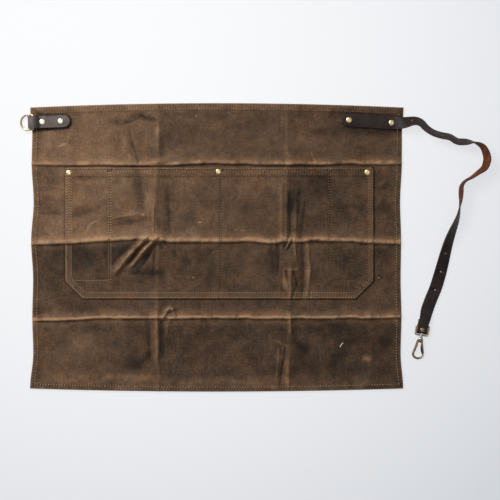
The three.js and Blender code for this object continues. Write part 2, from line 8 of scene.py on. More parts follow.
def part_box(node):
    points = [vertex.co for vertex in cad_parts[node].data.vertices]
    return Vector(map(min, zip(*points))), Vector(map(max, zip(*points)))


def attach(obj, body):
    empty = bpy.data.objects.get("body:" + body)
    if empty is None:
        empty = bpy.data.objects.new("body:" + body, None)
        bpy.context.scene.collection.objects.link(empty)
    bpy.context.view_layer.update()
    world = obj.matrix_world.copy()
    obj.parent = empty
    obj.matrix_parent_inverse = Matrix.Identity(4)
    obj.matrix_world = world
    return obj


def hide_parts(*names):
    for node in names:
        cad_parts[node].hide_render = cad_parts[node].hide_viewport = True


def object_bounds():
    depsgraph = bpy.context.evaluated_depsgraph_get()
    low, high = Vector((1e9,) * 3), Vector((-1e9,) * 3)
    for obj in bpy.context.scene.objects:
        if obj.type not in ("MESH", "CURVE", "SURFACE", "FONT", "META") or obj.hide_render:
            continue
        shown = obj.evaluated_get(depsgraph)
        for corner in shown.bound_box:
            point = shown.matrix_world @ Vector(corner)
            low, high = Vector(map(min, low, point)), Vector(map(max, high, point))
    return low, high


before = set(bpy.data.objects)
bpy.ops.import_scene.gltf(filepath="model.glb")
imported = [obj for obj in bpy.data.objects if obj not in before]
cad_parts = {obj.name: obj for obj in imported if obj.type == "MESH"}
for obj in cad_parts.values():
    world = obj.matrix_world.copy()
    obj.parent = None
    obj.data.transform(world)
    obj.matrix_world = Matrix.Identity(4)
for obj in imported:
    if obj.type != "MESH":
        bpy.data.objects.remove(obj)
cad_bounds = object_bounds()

# The apron's looks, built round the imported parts. Lengths in this script are millimetres in the
# row frame (X along the waist edge, Y up to it, Z off the table) unless a name says metres.
MM = 0.001

# ---- sizes that the parts share ----
CLOTH = 0.9
# layers of cloth in a double-folded hem
HEM_LAYERS = 3
LEATHER = 2.6
STRAP_WIDTH = 20.0
HEMS = {"left": 9.0, "right": 9.0, "low": 9.0, "high": 11.0}

panel_low, panel_high = (np.array(corner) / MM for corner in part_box("apron_panel"))
pocket_low, pocket_high = (np.array(corner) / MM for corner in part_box("pocket_panel"))
TOP_BOW, BOTTOM_BOW = 7.0, 5.0
PANEL_LEFT, PANEL_RIGHT = panel_low[0], panel_high[0]
PANEL_TOP, PANEL_BOTTOM = panel_high[1] - TOP_BOW, panel_low[1] + BOTTOM_BOW
# height along each side, and how far the side is pulled in there
SIDE_PULL = {
    "left": [(-224, 0), (-167, 5), (-110, 3.5), (-49, 4.8), (12, 1.7), (74, 5.6), (136.5, 2.5),
             (181, 3.5), (225.5, 0.3)],
    "right": [(-224, 1.4), (-167, 5.4), (-110, 4.1), (-49, 5.4), (12, 4.6), (74, 6.2), (136.5, 3.5),
              (181, 3.3), (225.5, 0.8)],
}
POCKET_CHAMFER = 28.0
TABLE = cad_bounds[0][2] / MM - 0.05


# ---------------------------------------------------------------- camera, table and light
def make_camera():
    """Long lens straight above the apron."""
    data = bpy.data.cameras.new("camera")
    data.lens = 180
    data.sensor_width = 36
    data.clip_end = 20
    camera = bpy.data.objects.new("camera", data)
    camera.location = (0.0528, -0.0024, 4.0)
    bpy.context.scene.collection.objects.link(camera)
    bpy.context.scene.camera = camera


def area_light(name, location, aim, size, power, color):
    """Round soft light that points at a place; metres and watts."""
    data = bpy.data.lights.new(name, "AREA")
    data.shape = "DISK"
    data.size = size
    data.energy = power
    data.color = color
    light = bpy.data.objects.new(name, data)
    light.location = location
    light.rotation_euler = (Vector(aim) - Vector(location)).to_track_quat("-Z", "Y").to_euler()
    bpy.context.scene.collection.objects.link(light)


def make_lights():
    """Key from the far left, a weak light overhead, a weaker fill from the right, and the sky."""
    area_light("key", (-1.35, 1.45, 1.75), (0.05, 0.0, 0.0), 1.2, 66, (1.0, 0.985, 0.96))
    area_light("overhead", (-0.62, 0.42, 2.6), (-0.3, 0.2, 0.0), 1.8, 10, (1.0, 0.99, 0.97))
    area_light("fill", (1.1, -0.9, 2.4), (0.0, 0.0, 0.0), 2.0, 3, (0.93, 0.96, 1.0))
    world = bpy.data.worlds.new("world")
    bpy.context.scene.world = world
    world.use_nodes = True
    background = world.node_tree.nodes["Background"]
    background.inputs["Color"].default_value = (0.92, 0.95, 1.0, 1)
    background.inputs["Strength"].default_value = 0.36


# ---------------------------------------------------------------- meshes
def mesh_object(name, vertices, faces, materials, smooth=True, face_slots=None):
    """Mesh from points in millimetres."""
    mesh = bpy.data.meshes.new(name)
    mesh.from_pydata((np.asarray(vertices, float) * MM).tolist(), [], [list(f) for f in faces])
    for material in materials:
        mesh.materials.append(material)
    if face_slots is not None:
        mesh.polygons.foreach_set("material_index", np.asarray(face_slots, np.int32))
    mesh.polygons.foreach_set("use_smooth", np.full(len(mesh.polygons), smooth))
    mesh.update()
    obj = bpy.data.objects.new(name, mesh)
    bpy.context.scene.collection.objects.link(obj)
    return obj


def float_layer(obj, name, values):
    """Stores a value at each point of a mesh, for its material to read."""
    layer = obj.data.attributes.new(name, "FLOAT", "POINT")
    layer.data.foreach_set("value", np.asarray(values, np.float32).ravel())


def bridge(first, second):
    """Quads between two rings of vertex numbers."""
    first, second = np.asarray(first), np.asarray(second)
    return np.stack([first, np.roll(first, -1), np.roll(second, -1), second], axis=1).tolist()


def loft(rings, closed=False, caps=True):
    """Vertices and faces through rings of points; each ring turns counter-clockwise about the way."""
    rings = np.asarray(rings, float)
    count, sides = rings.shape[:2]
    numbers = np.arange(count * sides).reshape(count, sides)
    faces = []
    for i in range(count if closed else count - 1):
        faces += bridge(numbers[i], numbers[(i + 1) % count])
    if caps and not closed:
        faces += [numbers[0][::-1].tolist(), numbers[-1].tolist()]
    return rings.reshape(-1, 3), faces


def merged(parts):
    """One list of vertices and one of faces from several."""
    vertices, faces, base = [], [], 0
    for points, polygons in parts:
        vertices.append(np.asarray(points, float))
        faces += [[base + i for i in polygon] for polygon in polygons]
        base += len(points)
    return np.concatenate(vertices), faces


def lathe(profile, segments=48):
    """Closed solid of revolution about Z from (radius, height) points that start and end on the axis."""
    inner = profile[1:-1]
    angles = np.linspace(0, 2 * math.pi, segments, endpoint=False)
    rings = [np.stack([r * np.cos(angles), r * np.sin(angles), np.full(segments, z)], 1)
             for r, z in inner]
    vertices, faces = loft(rings, caps=False)
    low, high = len(vertices), len(vertices) + 1
    vertices = np.vstack([vertices, [0, 0, profile[0][1]], [0, 0, profile[-1][1]]])
    last = (len(inner) - 1) * segments
    for k in range(segments):
        after = (k + 1) % segments
        faces.append([low, after, k])
        faces.append([high, last + k, last + after])
    return vertices, faces


def placed(part, matrix):
    """A part moved by a matrix."""
    points, faces = part
    rotated = np.asarray(points, float) @ np.array(matrix.to_3x3()).T
    return rotated + np.array(matrix.translation), faces


def copies(faces, count, size):
    """The faces of that many copies of a shape with size points."""
    return [[k * size + i for i in face] for k in range(count) for face in faces]


def arc_points(cx, cy, radius, start, end, steps=6):
    """Points on an arc between two angles in degrees."""
    angles = np.radians(np.linspace(start, end, steps))
    return [(cx + radius * math.cos(a), cy + radius * math.sin(a)) for a in angles]


def lengths_along(points):
    """Length of a line up to each of its points."""
    steps = np.linalg.norm(np.diff(points, axis=0), axis=1)
    return np.concatenate([[0], np.cumsum(steps)])


def points_at(points, lengths, at):
    """Points of a line, with its length at each point, where its length is at."""
    return np.stack([np.interp(at, lengths, column) for column in points.T], 1)


def resampled(points, spacing):
    """The same line with points at about that spacing."""
    points = np.asarray(points, float)
    lengths = lengths_along(points)
    count = max(int(round(lengths[-1] / spacing)), 2)
    return points_at(points, lengths, np.linspace(0, lengths[-1], count + 1))


def unit(v):
    """Vectors brought to length 1."""
    v = np.asarray(v, float)
    return v / np.maximum(np.linalg.norm(v, axis=-1, keepdims=True), 1e-9)


def tube(points, radii, sides=16, closed=False, squash=1.0, domed=True):
    """Round wire in the XY plane of its own frame, with a radius at each point."""
    points = np.asarray(points, float)
    radii = np.broadcast_to(np.asarray(radii, float), (len(points),))
    if closed:
        way = unit(np.roll(points, -1, 0) - np.roll(points, 1, 0))
    else:
        way = unit(np.gradient(points, axis=0))
        if domed:
            points, radii, way = dome_ends(points, radii, way)
    side = unit(np.cross([0, 0, 1], way))
    up = np.cross(way, side)
    turn = np.linspace(0, 2 * math.pi, sides, endpoint=False)
    rings = (points[:, None] + radii[:, None, None] * (
        np.cos(turn)[None, :, None] * side[:, None] + squash * np.sin(turn)[None, :, None] * up[:, None]))
    return loft(rings, closed)


def dome_ends(points, radii, way):
    """Adds shrinking rings at both ends, so that a wire ends in a dome."""
    steps = [(0.45, 0.9), (0.8, 0.62), (0.97, 0.22)]
    head = [points[0] - way[0] * radii[0] * out for out, _ in reversed(steps)]
    tail = [points[-1] + way[-1] * radii[-1] * out for out, _ in steps]
    head_r = [radii[0] * r for _, r in reversed(steps)]
    tail_r = [radii[-1] * r for _, r in steps]
    return (np.vstack([head, points, tail]), np.concatenate([head_r, radii, tail_r]),
            np.vstack([[way[0]] * 3, way, [way[-1]] * 3]))


# ---------------------------------------------------------------- smooth random fields
LUMP_GRID = 64


def lumps(x, y, size, seed):
    """Smooth field from -1 to 1 with lumps of about that size."""
    grid = np.random.default_rng(seed).uniform(-1, 1, (LUMP_GRID, LUMP_GRID))
    # shifted, so that the axes of symmetry don't fall on the grid's own lines
    u, v = np.asarray(x) / size + 31.3, np.asarray(y) / size + 17.7
    i, j = np.floor(u).astype(int), np.floor(v).astype(int)
    s, t = u - i, v - j
    s, t = s * s * s * (s * (6 * s - 15) + 10), t * t * t * (t * (6 * t - 15) + 10)
    i, j = i % LUMP_GRID, j % LUMP_GRID
    right, up = (i + 1) % LUMP_GRID, (j + 1) % LUMP_GRID
    low = grid[i, j] * (1 - s) + grid[right, j] * s
    high = grid[i, up] * (1 - s) + grid[right, up] * s
    return low * (1 - t) + high * t


def smoothstep(low, high, value):
    """0 at low and before it, 1 at high and past it; low may be the greater."""
    t = np.clip((value - low) / (high - low), 0, 1)
    return t * t * (3 - 2 * t)


def gauss(offset, reach):
    """1 where the offset is 0, falling off with that reach."""
    return np.exp(-(offset / reach) ** 2)


# ---------------------------------------------------------------- the lie of the cloth
# Folds that cross the whole apron, from the lowest up: the crest's line, its height, its reach above
# and below it, how far its wax is rubbed off and its lit upper flank painted lighter, and how wide, how dark
# the painted shade in the crease under it is, and where (middle and half width) that crease is closed.
ROW_FOLDS = [
    {"crest": [(-300, -115), (-240, -113.5), (-190, -111), (-94, -111), (0, -111), (116, -111),
               (299, -110)],
     "rise": 5.4, "above": 7.0, "below": 2.2, "rubbed_and_lit": 1.30, "band": 1.9, "crease_shade": 0.34, "closed": []},
    {"crest": [(-300, 7), (-230, 10), (-174, 13), (-119, 16), (-90, 12), (0, 10.5), (60, 12.5), (92, 8.5),
               (114, 14), (133, 9), (148, 14.5), (200, 12), (250, 10), (299, 7)],
     "rise": 6.0, "above": 8.0, "below": 2.4, "rubbed_and_lit": 1.2, "band": 3.0, "crease_shade": 0.28,
     "closed": [(112, 5)]},
    {"crest": [(-300, 134.5), (-180, 134), (-94, 133.5), (-16, 136.5), (116, 134.5), (210, 136),
               (299, 134.5)],
     "rise": 5.0, "above": 6.5, "below": 2.0, "rubbed_and_lit": 0.68, "band": 2.8, "crease_shade": 0.50,
     "closed": [(-275, 36), (-90, 7), (250, 50)]},
]
# the same for the folds that run down it, with the reach to the left and right
COLUMN_FOLDS = [
    {"crest": [(-226, -93), (-110, -95), (12, -94), (60, -101), (136, -95), (230, -94)],
     "rise": 2.4, "left": 14, "right": 6, "rubbed_and_lit": 0.07},
    {"crest": [(-226, 114), (-110, 116), (12, 116), (60, 110), (136, 113), (230, 113)],
     "rise": 1.3, "left": 14, "right": 13, "rubbed_and_lit": 0.08},
]
# painted light and shade from the left to the right of each of those, paler on its lit left side and darker
# past it, in each field from the lowest up
COLUMN_SHADE_STEPS = [[0.02, 0.04, 0.12, 0.06], [0.0, 0.02, 0.10, 0.03]]
# single wrinkles: start, end, half width, height (a valley is negative)
WRINKLES = [
    # fingers that run down-left from the crossing of the middle fold and the left column
    ((-116, 14), (-141, -12), 4.6, 5.6), ((-141, -12), (-160, -36), 4.4, 4.6),
    ((-99, 14), (-117, -4), 4.0, 5.6), ((-117, -4), (-133, -24), 3.8, 4.6),
    ((-128, 14), (-148, -3), 4.4, -4.0), ((-148, -3), (-167, -22), 5.2, -3.0),
    ((-148, 12), (-171, -6), 6.0, -2.2), ((-111, 9), (-126, -7), 2.6, -5.6),
    ((-126, -7), (-139, -21), 2.8, -4.8), ((-98, 6), (-113, -16), 3.6, -3.6),
    ((-113, -16), (-127, -36), 4.2, -2.8), ((-160, -42), (-168, -46), 4.0, -4.0),
    ((-99, 0), (-101, -40), 2.2, -2.0), ((-91, 9), (-88, 3), 2.2, -3.4), ((-83, 10), (-79, 4), 2.2, -3.4),
    ((-66, 8), (-66, -9), 2.2, -1.8), ((-132, -39), (-95, -41), 3.0, -2.6),
    ((-130, -52), (-122, -54), 3.4, -2.0), ((-106, 15), (-88, 14), 4.5, 3.4),
    # creases above the middle fold
    ((-101, 60), (-101, 28), 1.8, 1.8), ((-101, 28), (-93, 15), 1.8, 2.4),
    ((-78, 84), (-77, 34), 5.0, -2.6), ((-125, 112), (-119, 64), 7.0, -2.4),
    ((-160, 38), (-122, 46), 5.0, -2.4), ((-158, 50), (-124, 55), 2.4, 1.6),
    ((-228, 52), (-188, 66), 5.0, -2.2), ((-280, 56), (-252, 56), 1.8, -2.6),
    ((-280, 101), (-250, 97), 3.0, 1.4),
    # puckers round the right column
    ((118, 80), (116, 20), 2.6, -3.8), ((123, 86), (121, 66), 3.0, -2.0),
    ((133, 88), (131, 62), 3.2, -2.4), ((127, 62), (125, 16), 3.0, 1.8),
    ((140, 60), (134, 18), 3.0, -2.0), ((104, 90), (104, 20), 3.4, 1.8), ((114, 13), (109, 3), 1.8, -3.4),
    ((117, 13), (112, 3), 1.8, 3.2), ((120, 12), (115, 1), 1.8, -3.4), ((124, 10), (126, -8), 2.0, 2.6),
    ((89, 5), (89, -36), 3.0, -1.8), ((98, 7), (98, -26), 3.4, -2.2), ((110, -50), (112, -60), 4.6, 4.0),
    ((104, -40), (104, -70), 2.2, -2.4), ((118, -40), (118, -72), 3.4, 3.0),
    ((112, -38), (113, -46), 2.0, -3.2), ((106, -64), (111, -72), 2.4, -3.0),
    ((124, -38), (128, -56), 1.5, -3.6), ((128, -56), (121, -78), 1.5, -3.6),
    ((146, 6), (148, -40), 4.4, 2.2), ((148, -40), (145, -72), 4.0, 2.0),
    ((138, 2), (137, -66), 3.2, -2.6), ((110, -34), (127, -35), 1.6, 1.8),
    # below the lowest fold
    ((-86, -110), (-78, -98), 3.0, 4.2), ((-78, -98), (-71, -97), 3.2, 3.4),
    ((-71, -97), (-68, -104), 3.0, 3.0), ((-82, -112), (-76, -118), 3.0, -4.0),
    ((-109, -117), (-108, -168), 3.6, -3.4), ((-110, -172), (-124, -186), 5.0, -2.0),
    ((-96, -114), (-95, -172), 4.2, 3.2), ((-87, -114), (-86, -164), 3.0, -3.6),
    ((-76, -114), (-80, -136), 2.2, 1.6), ((109, -164), (101.5, -214), 1.1, -2.8),
    ((100, -162), (96, -206), 2.2, 1.4), ((114, -186), (114, -216), 5.0, 2.6),
    ((117, -112), (118, -132), 2.6, 3.6), ((128, -152), (138, -162), 3.4, -2.2),
    ((98, -150), (112, -158), 2.4, 2.0), ((100, -158), (104, -166), 2.4, -2.6),
    # the top bay
    ((-140, 189), (-134.5, 166), 2.0, -1.8), ((-134.5, 166), (-126, 141), 1.8, -3.4),
    ((-146, 170), (-140, 150), 5.0, 1.8), ((101, 205), (101, 188), 2.0, -1.8),
    ((152, 152), (158, 141), 2.0, 1.6), ((148, 152), (154, 140), 2.0, -1.6),
    ((-142, 201), (-122, 212), 3.4, -2.2), ((-122, 212), (-101, 204), 3.0, -2.2),
    ((250, 140), (282, 139), 3.0, 1.4), ((-100, 138), (-84, 139), 3.6, 3.0),
    ((-293, 223), (-285, 215.5), 1.8, -3.0), ((-285, 215.5), (-272, 214.5), 1.9, -2.8),
    ((-289, 224), (-279, 219), 2.0, 1.8),
]
# prints of rivets in the cloth from when it lay folded
RIVET_PRINTS = [(-274.7, -57), (-274.7, -168)]
PRINT_RADIUS = 8.0
RIVETS = {
    "rivet_pocket_left": (-236.6, 121, 3.9), "rivet_pocket_middle": (2.1, 123, 3.9),
    "rivet_pocket_right": (240.6, 121.8, 3.9), "rivet_tab_outer": (-279, 202.2, 6.7),
    "rivet_tab_inner": (-250.1, 203.5, 3.8), "rivet_strap_inner": (211.2, 205.4, 3.8),
    "rivet_strap_outer": (279, 200.9, 5.6),
}


def along(points, value):
    """Smoothed height of a fold line at a value."""
    xs, ys = zip(*points)
    return sum(np.interp(value + shift, xs, ys) for shift in (-8, -4, 0, 4, 8)) / 5


def crest_at(fold, x):
    """Where a fold that crosses the apron has its crest, wavering a little."""
    return along(fold["crest"], x) + 0.9 * lumps(x, x * 0, 17, 7)


def fold_profile(offset, before, after):
    """Cross-section of a fold, 1 at its crest, with its own reach on each side."""
    near = gauss(offset, np.where(offset > 0, before, after))
    return 0.86 * near + 0.14 * np.exp(-np.abs(offset) / 16)


def wrinkle(x, y, start, end, half, height):
    """A ridge or valley; its lower right flank is the steeper one."""
    (x0, y0), (x1, y1) = start, end
    dx, dy = x1 - x0, y1 - y0
    length = math.hypot(dx, dy)
    t = ((x - x0) * dx + (y - y0) * dy) / length ** 2
    off = ((x - x0) * dy - (y - y0) * dx) / length
    lit = np.sign(dx + dy) or 1
    width = np.where(off * lit > 0, half * 0.62, half * 1.2)
    beyond = np.maximum(np.maximum(-t, t - 1), 0) * length
    return height * gauss(off, width) * gauss(beyond, 1.4 * half + 0.12 * length)


def near_rivet(x, y):
    """1 over the back caps of the rivets, falling to 0 round them."""
    share = np.zeros(np.broadcast(x, y).shape)
    for cx, cy, _ in RIVETS.values():
        share = np.maximum(share, np.exp(-(((x - cx) ** 2 + (y - cy) ** 2) / 18 ** 2) ** 2))
    return share


def row_relief(x, y):
    """Height of the folds that cross the apron; they are lower at its sides."""
    height = np.zeros(np.broadcast(x, y).shape)
    for fold in ROW_FOLDS:
        varied = fold["rise"] * (1 + 0.22 * lumps(x, y * 0, 40, 5) + 0.10 * lumps(x, y * 0, 13, 6))
        from_crest = y - crest_at(fold, x)
        height = np.maximum(height, varied * fold_profile(from_crest, fold["above"], fold["below"]))
    from_side = np.minimum(x - PANEL_LEFT, PANEL_RIGHT - x)
    return height * (1 - 0.5 * gauss(np.maximum(from_side, 0), 16))


def column_relief(x, y):
    """Height of the folds that run down the apron."""
    height = np.zeros(np.broadcast(x, y).shape)
    for fold in COLUMN_FOLDS:
        varied = fold["rise"] * (1 + 0.35 * lumps(x * 0, y, 32, 8))
        from_crest = along(fold["crest"], y) - x
        height = np.maximum(height, varied * fold_profile(from_crest, fold["left"], fold["right"]))
    return height


def relief(x, y):
    """Height of the cloth's underside above the level on which it lies flat."""
    x, y = np.asarray(x, float), np.asarray(y, float)
    rows = row_relief(x, y)
    total = rows + column_relief(x, y) * (1 - 0.55 * np.clip(rows / 6, 0, 1))
    for start, end, half, height in WRINKLES:
        total += wrinkle(x, y, start, end, half, height)
    for cx, cy in RIVET_PRINTS:
        total += 0.9 * gauss(np.hypot(x - cx, y - cy) - PRINT_RADIUS, 1.5)
    # ripples, from broad waves to the roughness of the cloth
    for height, size, seed in ((0.8, 66, 11), (0.5, 24, 12), (0.24, 9, 13), (0.10, 4.2, 14)):
        total += height * lumps(x, y, size, seed)
    # level parts come down to the table, except over the back caps of the rivets
    return np.maximum(total + 0.5, 0) - CLOTH * (1 - near_rivet(x, y))


# ---------------------------------------------------------------- panel
def side_at(side, y):
    """X of one of the panel's sides at a height."""
    y = np.asarray(y, float)
    points = SIDE_PULL[side]
    pull = np.full(y.shape, float(points[0][1]))
    for (low, first), (high, second) in zip(points, points[1:]):
        share = np.clip((y - low) / (high - low), 0, 1)
        pull = pull + (second - first) * (1 - np.cos(math.pi * share)) / 2
    return PANEL_LEFT + pull if side == "left" else PANEL_RIGHT - pull


def bow(x, y):
    """How far the top edge curves up, and the bottom edge down, at a point in plan."""
    height = TOP_BOW * smoothstep(60, 200, y) - BOTTOM_BOW * smoothstep(60, 200, -y)
    return height * (1 - (x / PANEL_LEFT) ** 2)


def rim(edge, reach):
    """Half-round rise of a cloth's edge: 0 on the edge, 1 from its reach inwards."""
    return np.sqrt(np.clip(1 - (1 - np.clip(edge / reach, 0, 1)) ** 2, 0, 1))


# width of the band along each edge in which the panel's points keep their distance from the edge
EDGE_BAND = 30
# where folds cross the cloth, its points stand closer together
FINE_ROWS = [(-122, -98), (-8, 28), (124, 148)]
FINE_COLUMNS = [(-168, -60), (84, 156)]
FINE_STEP, COARSE_STEP = 1.15, 1.9


def steps_from_edge(hem):
    """Offsets from an edge: fine round the fold and at the hem's inner step, then even."""
    near = [0, 0.25, 0.7, 1.4, 2.6, 4.2, 5.8, 7.4, hem - 0.6, hem - 0.12, hem + 0.12, hem + 1, hem + 2.2]
    return np.array(near + list(np.arange(hem + 4, EDGE_BAND, 1.8)))


def graded(low, high, fine):
    """Places from low to high, closer together inside the fine spans."""
    places, at = [], low
    while at < high:
        places.append(at)
        at += FINE_STEP if any(start < at < end for start, end in fine) else COARSE_STEP
    return np.array(places)


def panel_grid():
    """Points of the panel in plan, and the height of each row before its ends are bowed."""
    left, right, low, high = (steps_from_edge(HEMS[side]) for side in ("left", "right", "low", "high"))
    inner_x = graded(PANEL_LEFT + (EDGE_BAND + 2), PANEL_RIGHT - (EDGE_BAND + 1), FINE_COLUMNS)[None]
    inner_y = graded(PANEL_BOTTOM + (EDGE_BAND + 1), PANEL_TOP - (EDGE_BAND + 1), FINE_ROWS)
    flat_y = np.concatenate([PANEL_BOTTOM + low, inner_y, PANEL_TOP - high[::-1]])[:, None]
    left_side, right_side = side_at("left", flat_y), side_at("right", flat_y)
    middle_x = (PANEL_LEFT + PANEL_RIGHT) / 2
    # the pull of the sides fades out towards the middle
    pull = (smoothstep(40, 250, middle_x - inner_x) * (left_side - PANEL_LEFT)
            - smoothstep(40, 250, inner_x - middle_x) * (PANEL_RIGHT - right_side))
    x = np.concatenate([left_side + left, inner_x + pull, right_side - right[::-1]], axis=1)
    return x, flat_y + bow(x, flat_y), flat_y


def hem_field(x, flat_y):
    """Signed distance inside each hem's inner line, negative inside a hem; and to the nearest edge."""
    from_left = x - side_at("left", flat_y)
    from_right = side_at("right", flat_y) - x
    from_low = np.broadcast_to(flat_y - PANEL_BOTTOM, x.shape)
    from_high = np.broadcast_to(PANEL_TOP - flat_y, x.shape)
    inner = np.minimum.reduce([from_left - HEMS["left"], from_right - HEMS["right"],
                               from_low - HEMS["low"], from_high - HEMS["high"]])
    edge = np.minimum.reduce([from_left, from_right, from_low, from_high])
    return inner, edge


def panel_heights(x, y, inner, edge):
    """Heights of the panel's underside and top at points in plan."""
    lie = relief(x, y)
    # the stiff hems lie calmer, except where a fold lifts them
    lie = lie * np.where(lie > 2, 1, 0.35 + 0.65 * smoothstep(-2, 14, inner))
    in_hem = inner <= 0
    half = np.where(in_hem, HEM_LAYERS * CLOTH, CLOTH) / 2
    # the hem's inner edge holds the cloth beside it up
    middle = lie + np.where(in_hem, 0, 1.35 * np.exp(-np.maximum(inner, 0) / 4.5)) + half
    half = half * rim(edge, 1.5 * CLOTH)
    return middle - half, middle + half - 0.28 * gauss(inner + 1.6, 0.9)


def slab_mesh(x, y, low, high):
    """Closed mesh of a sheet whose top and underside share their edge."""
    rows, columns = x.shape
    number = np.arange(rows * columns).reshape(rows, columns)
    top = np.stack([x, y, high], -1).reshape(-1, 3)
    border = np.zeros((rows, columns), bool)
    border[[0, -1]] = True
    border[:, [0, -1]] = True
    under_number = np.where(border, number, 0)
    inner = ~border
    under_number[inner] = rows * columns + np.arange(inner.sum())
    under = np.stack([x[inner], y[inner], low[inner]], -1)

    def quads(n, flip):
        q = np.stack([n[:-1, :-1], n[:-1, 1:], n[1:, 1:], n[1:, :-1]], -1).reshape(-1, 4)
        return q[:, ::-1] if flip else q
    faces = np.concatenate([quads(number, False), quads(under_number, True)])
    return np.concatenate([top, under]), faces, inner


def panel_top_at(x, y):
    """Top of the panel at points in plan, away from its rim."""
    inner, edge = hem_field(x, y - bow(x, y))
    return panel_heights(x, y, inner, np.maximum(edge, 3))[1]


def make_panel(material):
    """The panel's cloth, with the fields that its material reads."""
    x, y, flat_y = panel_grid()
    inner, edge = hem_field(x, flat_y)
    vertices, faces, kept = slab_mesh(x, y, *panel_heights(x, y, inner, edge))
    obj = mesh_object("panel_cloth", vertices, faces, [material])
    from_side = np.minimum(x - side_at("left", flat_y), side_at("right", flat_y) - x)
    from_end = np.broadcast_to(np.minimum(flat_y - PANEL_BOTTOM, PANEL_TOP - flat_y), x.shape)
    count, gather = puckering(np.where(from_side < from_end, y, x), inner, 10.0)
    # the panel's tone, less the painted shadow beside the pocket patch
    tone = np.clip(toning(x, y) - 0.9 * painted_pocket_shadow(x, y), 0, 1)
    cloth_layers(obj, kept, scuff=scuffing(x, y, edge), tone=tone, stitch=count, gather=gather)
    return obj


# ---------------------------------------------------------------- wear and wax in the cloth
# tone of each field between the folds, from the left edge to the right: 0 is near black, 1 pale tan; partly
# the wax, partly painted light for how each field slants to the light
TONE_PLACES = [-290, -200, -130, -70, 30, 95, 130, 200, 290]
FIELD_TONES = [
    ((136, 240), [0.62, 0.64, 0.58, 0.49, 0.46, 0.44, 0.41, 0.40, 0.41]),
    ((12, 136), [0.57, 0.66, 0.62, 0.52, 0.47, 0.44, 0.36, 0.36, 0.36]),
    ((-110, 12), [0.41, 0.31, 0.34, 0.37, 0.36, 0.36, 0.36, 0.36, 0.34]),
    ((-240, -110), [0.45, 0.42, 0.38, 0.34, 0.35, 0.33, 0.28, 0.25, 0.28]),
]
# soft patches: x, y, half width, half height, change of tone
PATCHES = [
    # top bay
    (-205, 160, 80, 30, 0.03), (-112, 150, 18, 20, -0.06), (-158, 203, 20, 4.5, -0.16),
    (-121, 210, 18, 5, -0.12), (-79, 171, 9, 12, -0.13), (-50, 190, 30, 26, -0.05),
    (62, 193, 26, 14, -0.12), (165, 186, 26, 8, -0.10), (204, 216, 28, 8, -0.14),
    (244, 186, 42, 6, -0.14), (196, 190, 12, 8, -0.08), (250, 150, 60, 24, -0.03),
    (140, 165, 40, 14, 0.05), (8, 211, 12, 5, -0.12), (112, 152, 5, 18, 0.10), (-140, 170, 8, 8, 0.05),
    (-95, 191, 2.8, 4.5, 0.36), (-63, 220, 14, 2.0, 0.16), (-62, 210, 5, 2.2, 0.12),
    (-11, 192, 4, 1.0, 0.16),
    # second bay
    (-124, 92, 8, 24, -0.15), (-142, 42, 22, 6.2, -0.17), (-82, 64, 9, 22, -0.17),
    (-48, 43, 10, 10, -0.13), (-36, 76, 40, 1.4, -0.09), (-13, 70, 14, 5, -0.10),
    (-60, 104, 30, 12, 0.04), (60, 104, 46, 14, 0.05), (72, 66, 36, 8, -0.09), (127, 76, 10, 20, -0.11),
    (166, 104, 20, 14, -0.09), (212, 66, 30, 7, -0.12), (262, 100, 13, 7, -0.13), (264, 64, 14, 9, -0.14),
    # the patch at (-212, 113) is painted shadow under the left end of the pocket's mouth hem
    (160, 88, 22, 20, -0.05), (-212, 113, 26, 3, -0.18), (60, 123, 60, 4, 0.06), (-120, 124, 60, 4, 0.05),
    (-208, 60, 24, 7, -0.13), (-266, 116, 20, 16, -0.17), (-266, 91, 20, 6.1, 0.06),
    (-266, 70, 20, 9, -0.12), (-266, 38, 26, 12, 0.06), (-118, 54, 4, 2.0, 0.26), (-28, 42, 3, 1.2, 0.30),
    (-96, 118, 5, 20, 0.05),
    # third bay
    (-268, -26, 34, 34, -0.08), (-212, -6, 36, 12, -0.14), (-225, -58, 40, 18, 0.06),
    (-60, -25, 50, 18, -0.04), (-112, -41, 20, 6.2, -0.12), (-142, -2, 26, 7, -0.12),
    (60, -50, 60, 14, 0.04), (208, -24, 28, 20, -0.06), (268, -1, 24, 6.5, -0.16),
    (268, -36, 14, 38, -0.07), (170, -50, 30, 20, 0.03), (-32, -20, 8, 22, -0.07),
    (-8, -10, 9, 26, -0.06), (93, -35, 5, 34, -0.10), (110, -55, 6, 8, 0.12), (147, -36, 5, 36, 0.10),
    (-130, -66, 100, 8, 0.05), (0, -96, 250, 8, -0.02),
    # lowest bay
    (-200, -122, 100, 8, -0.08), (-142, -182, 32, 11, -0.14), (0, -150, 80, 24, -0.05),
    (150, -128, 150, 14, -0.09), (218, -151, 20, 9, -0.16), (266, -151, 20, 9, -0.20),
    (134, -160, 10, 8, -0.12), (190, -176, 14, 12, -0.10), (114, -206, 9, 14, 0.12),
    (-230, -160, 50, 26, 0.05), (-100, -210, 150, 6.5, 0.14), (60, -210, 70, 7, 0.10),
    (200, -212, 90, 8, 0.10), (-240, -205, 50, 12, 0.05), (0, 226, 290, 6, 0.10), (240, -177, 6, 5, 0.42),
    (-180, -203, 46, 3, 0.09), (-120, -196, 30, 3, 0.06), (118, -120, 4, 9, 0.14),
    (0, -224, 300, 5, 0.10),
]
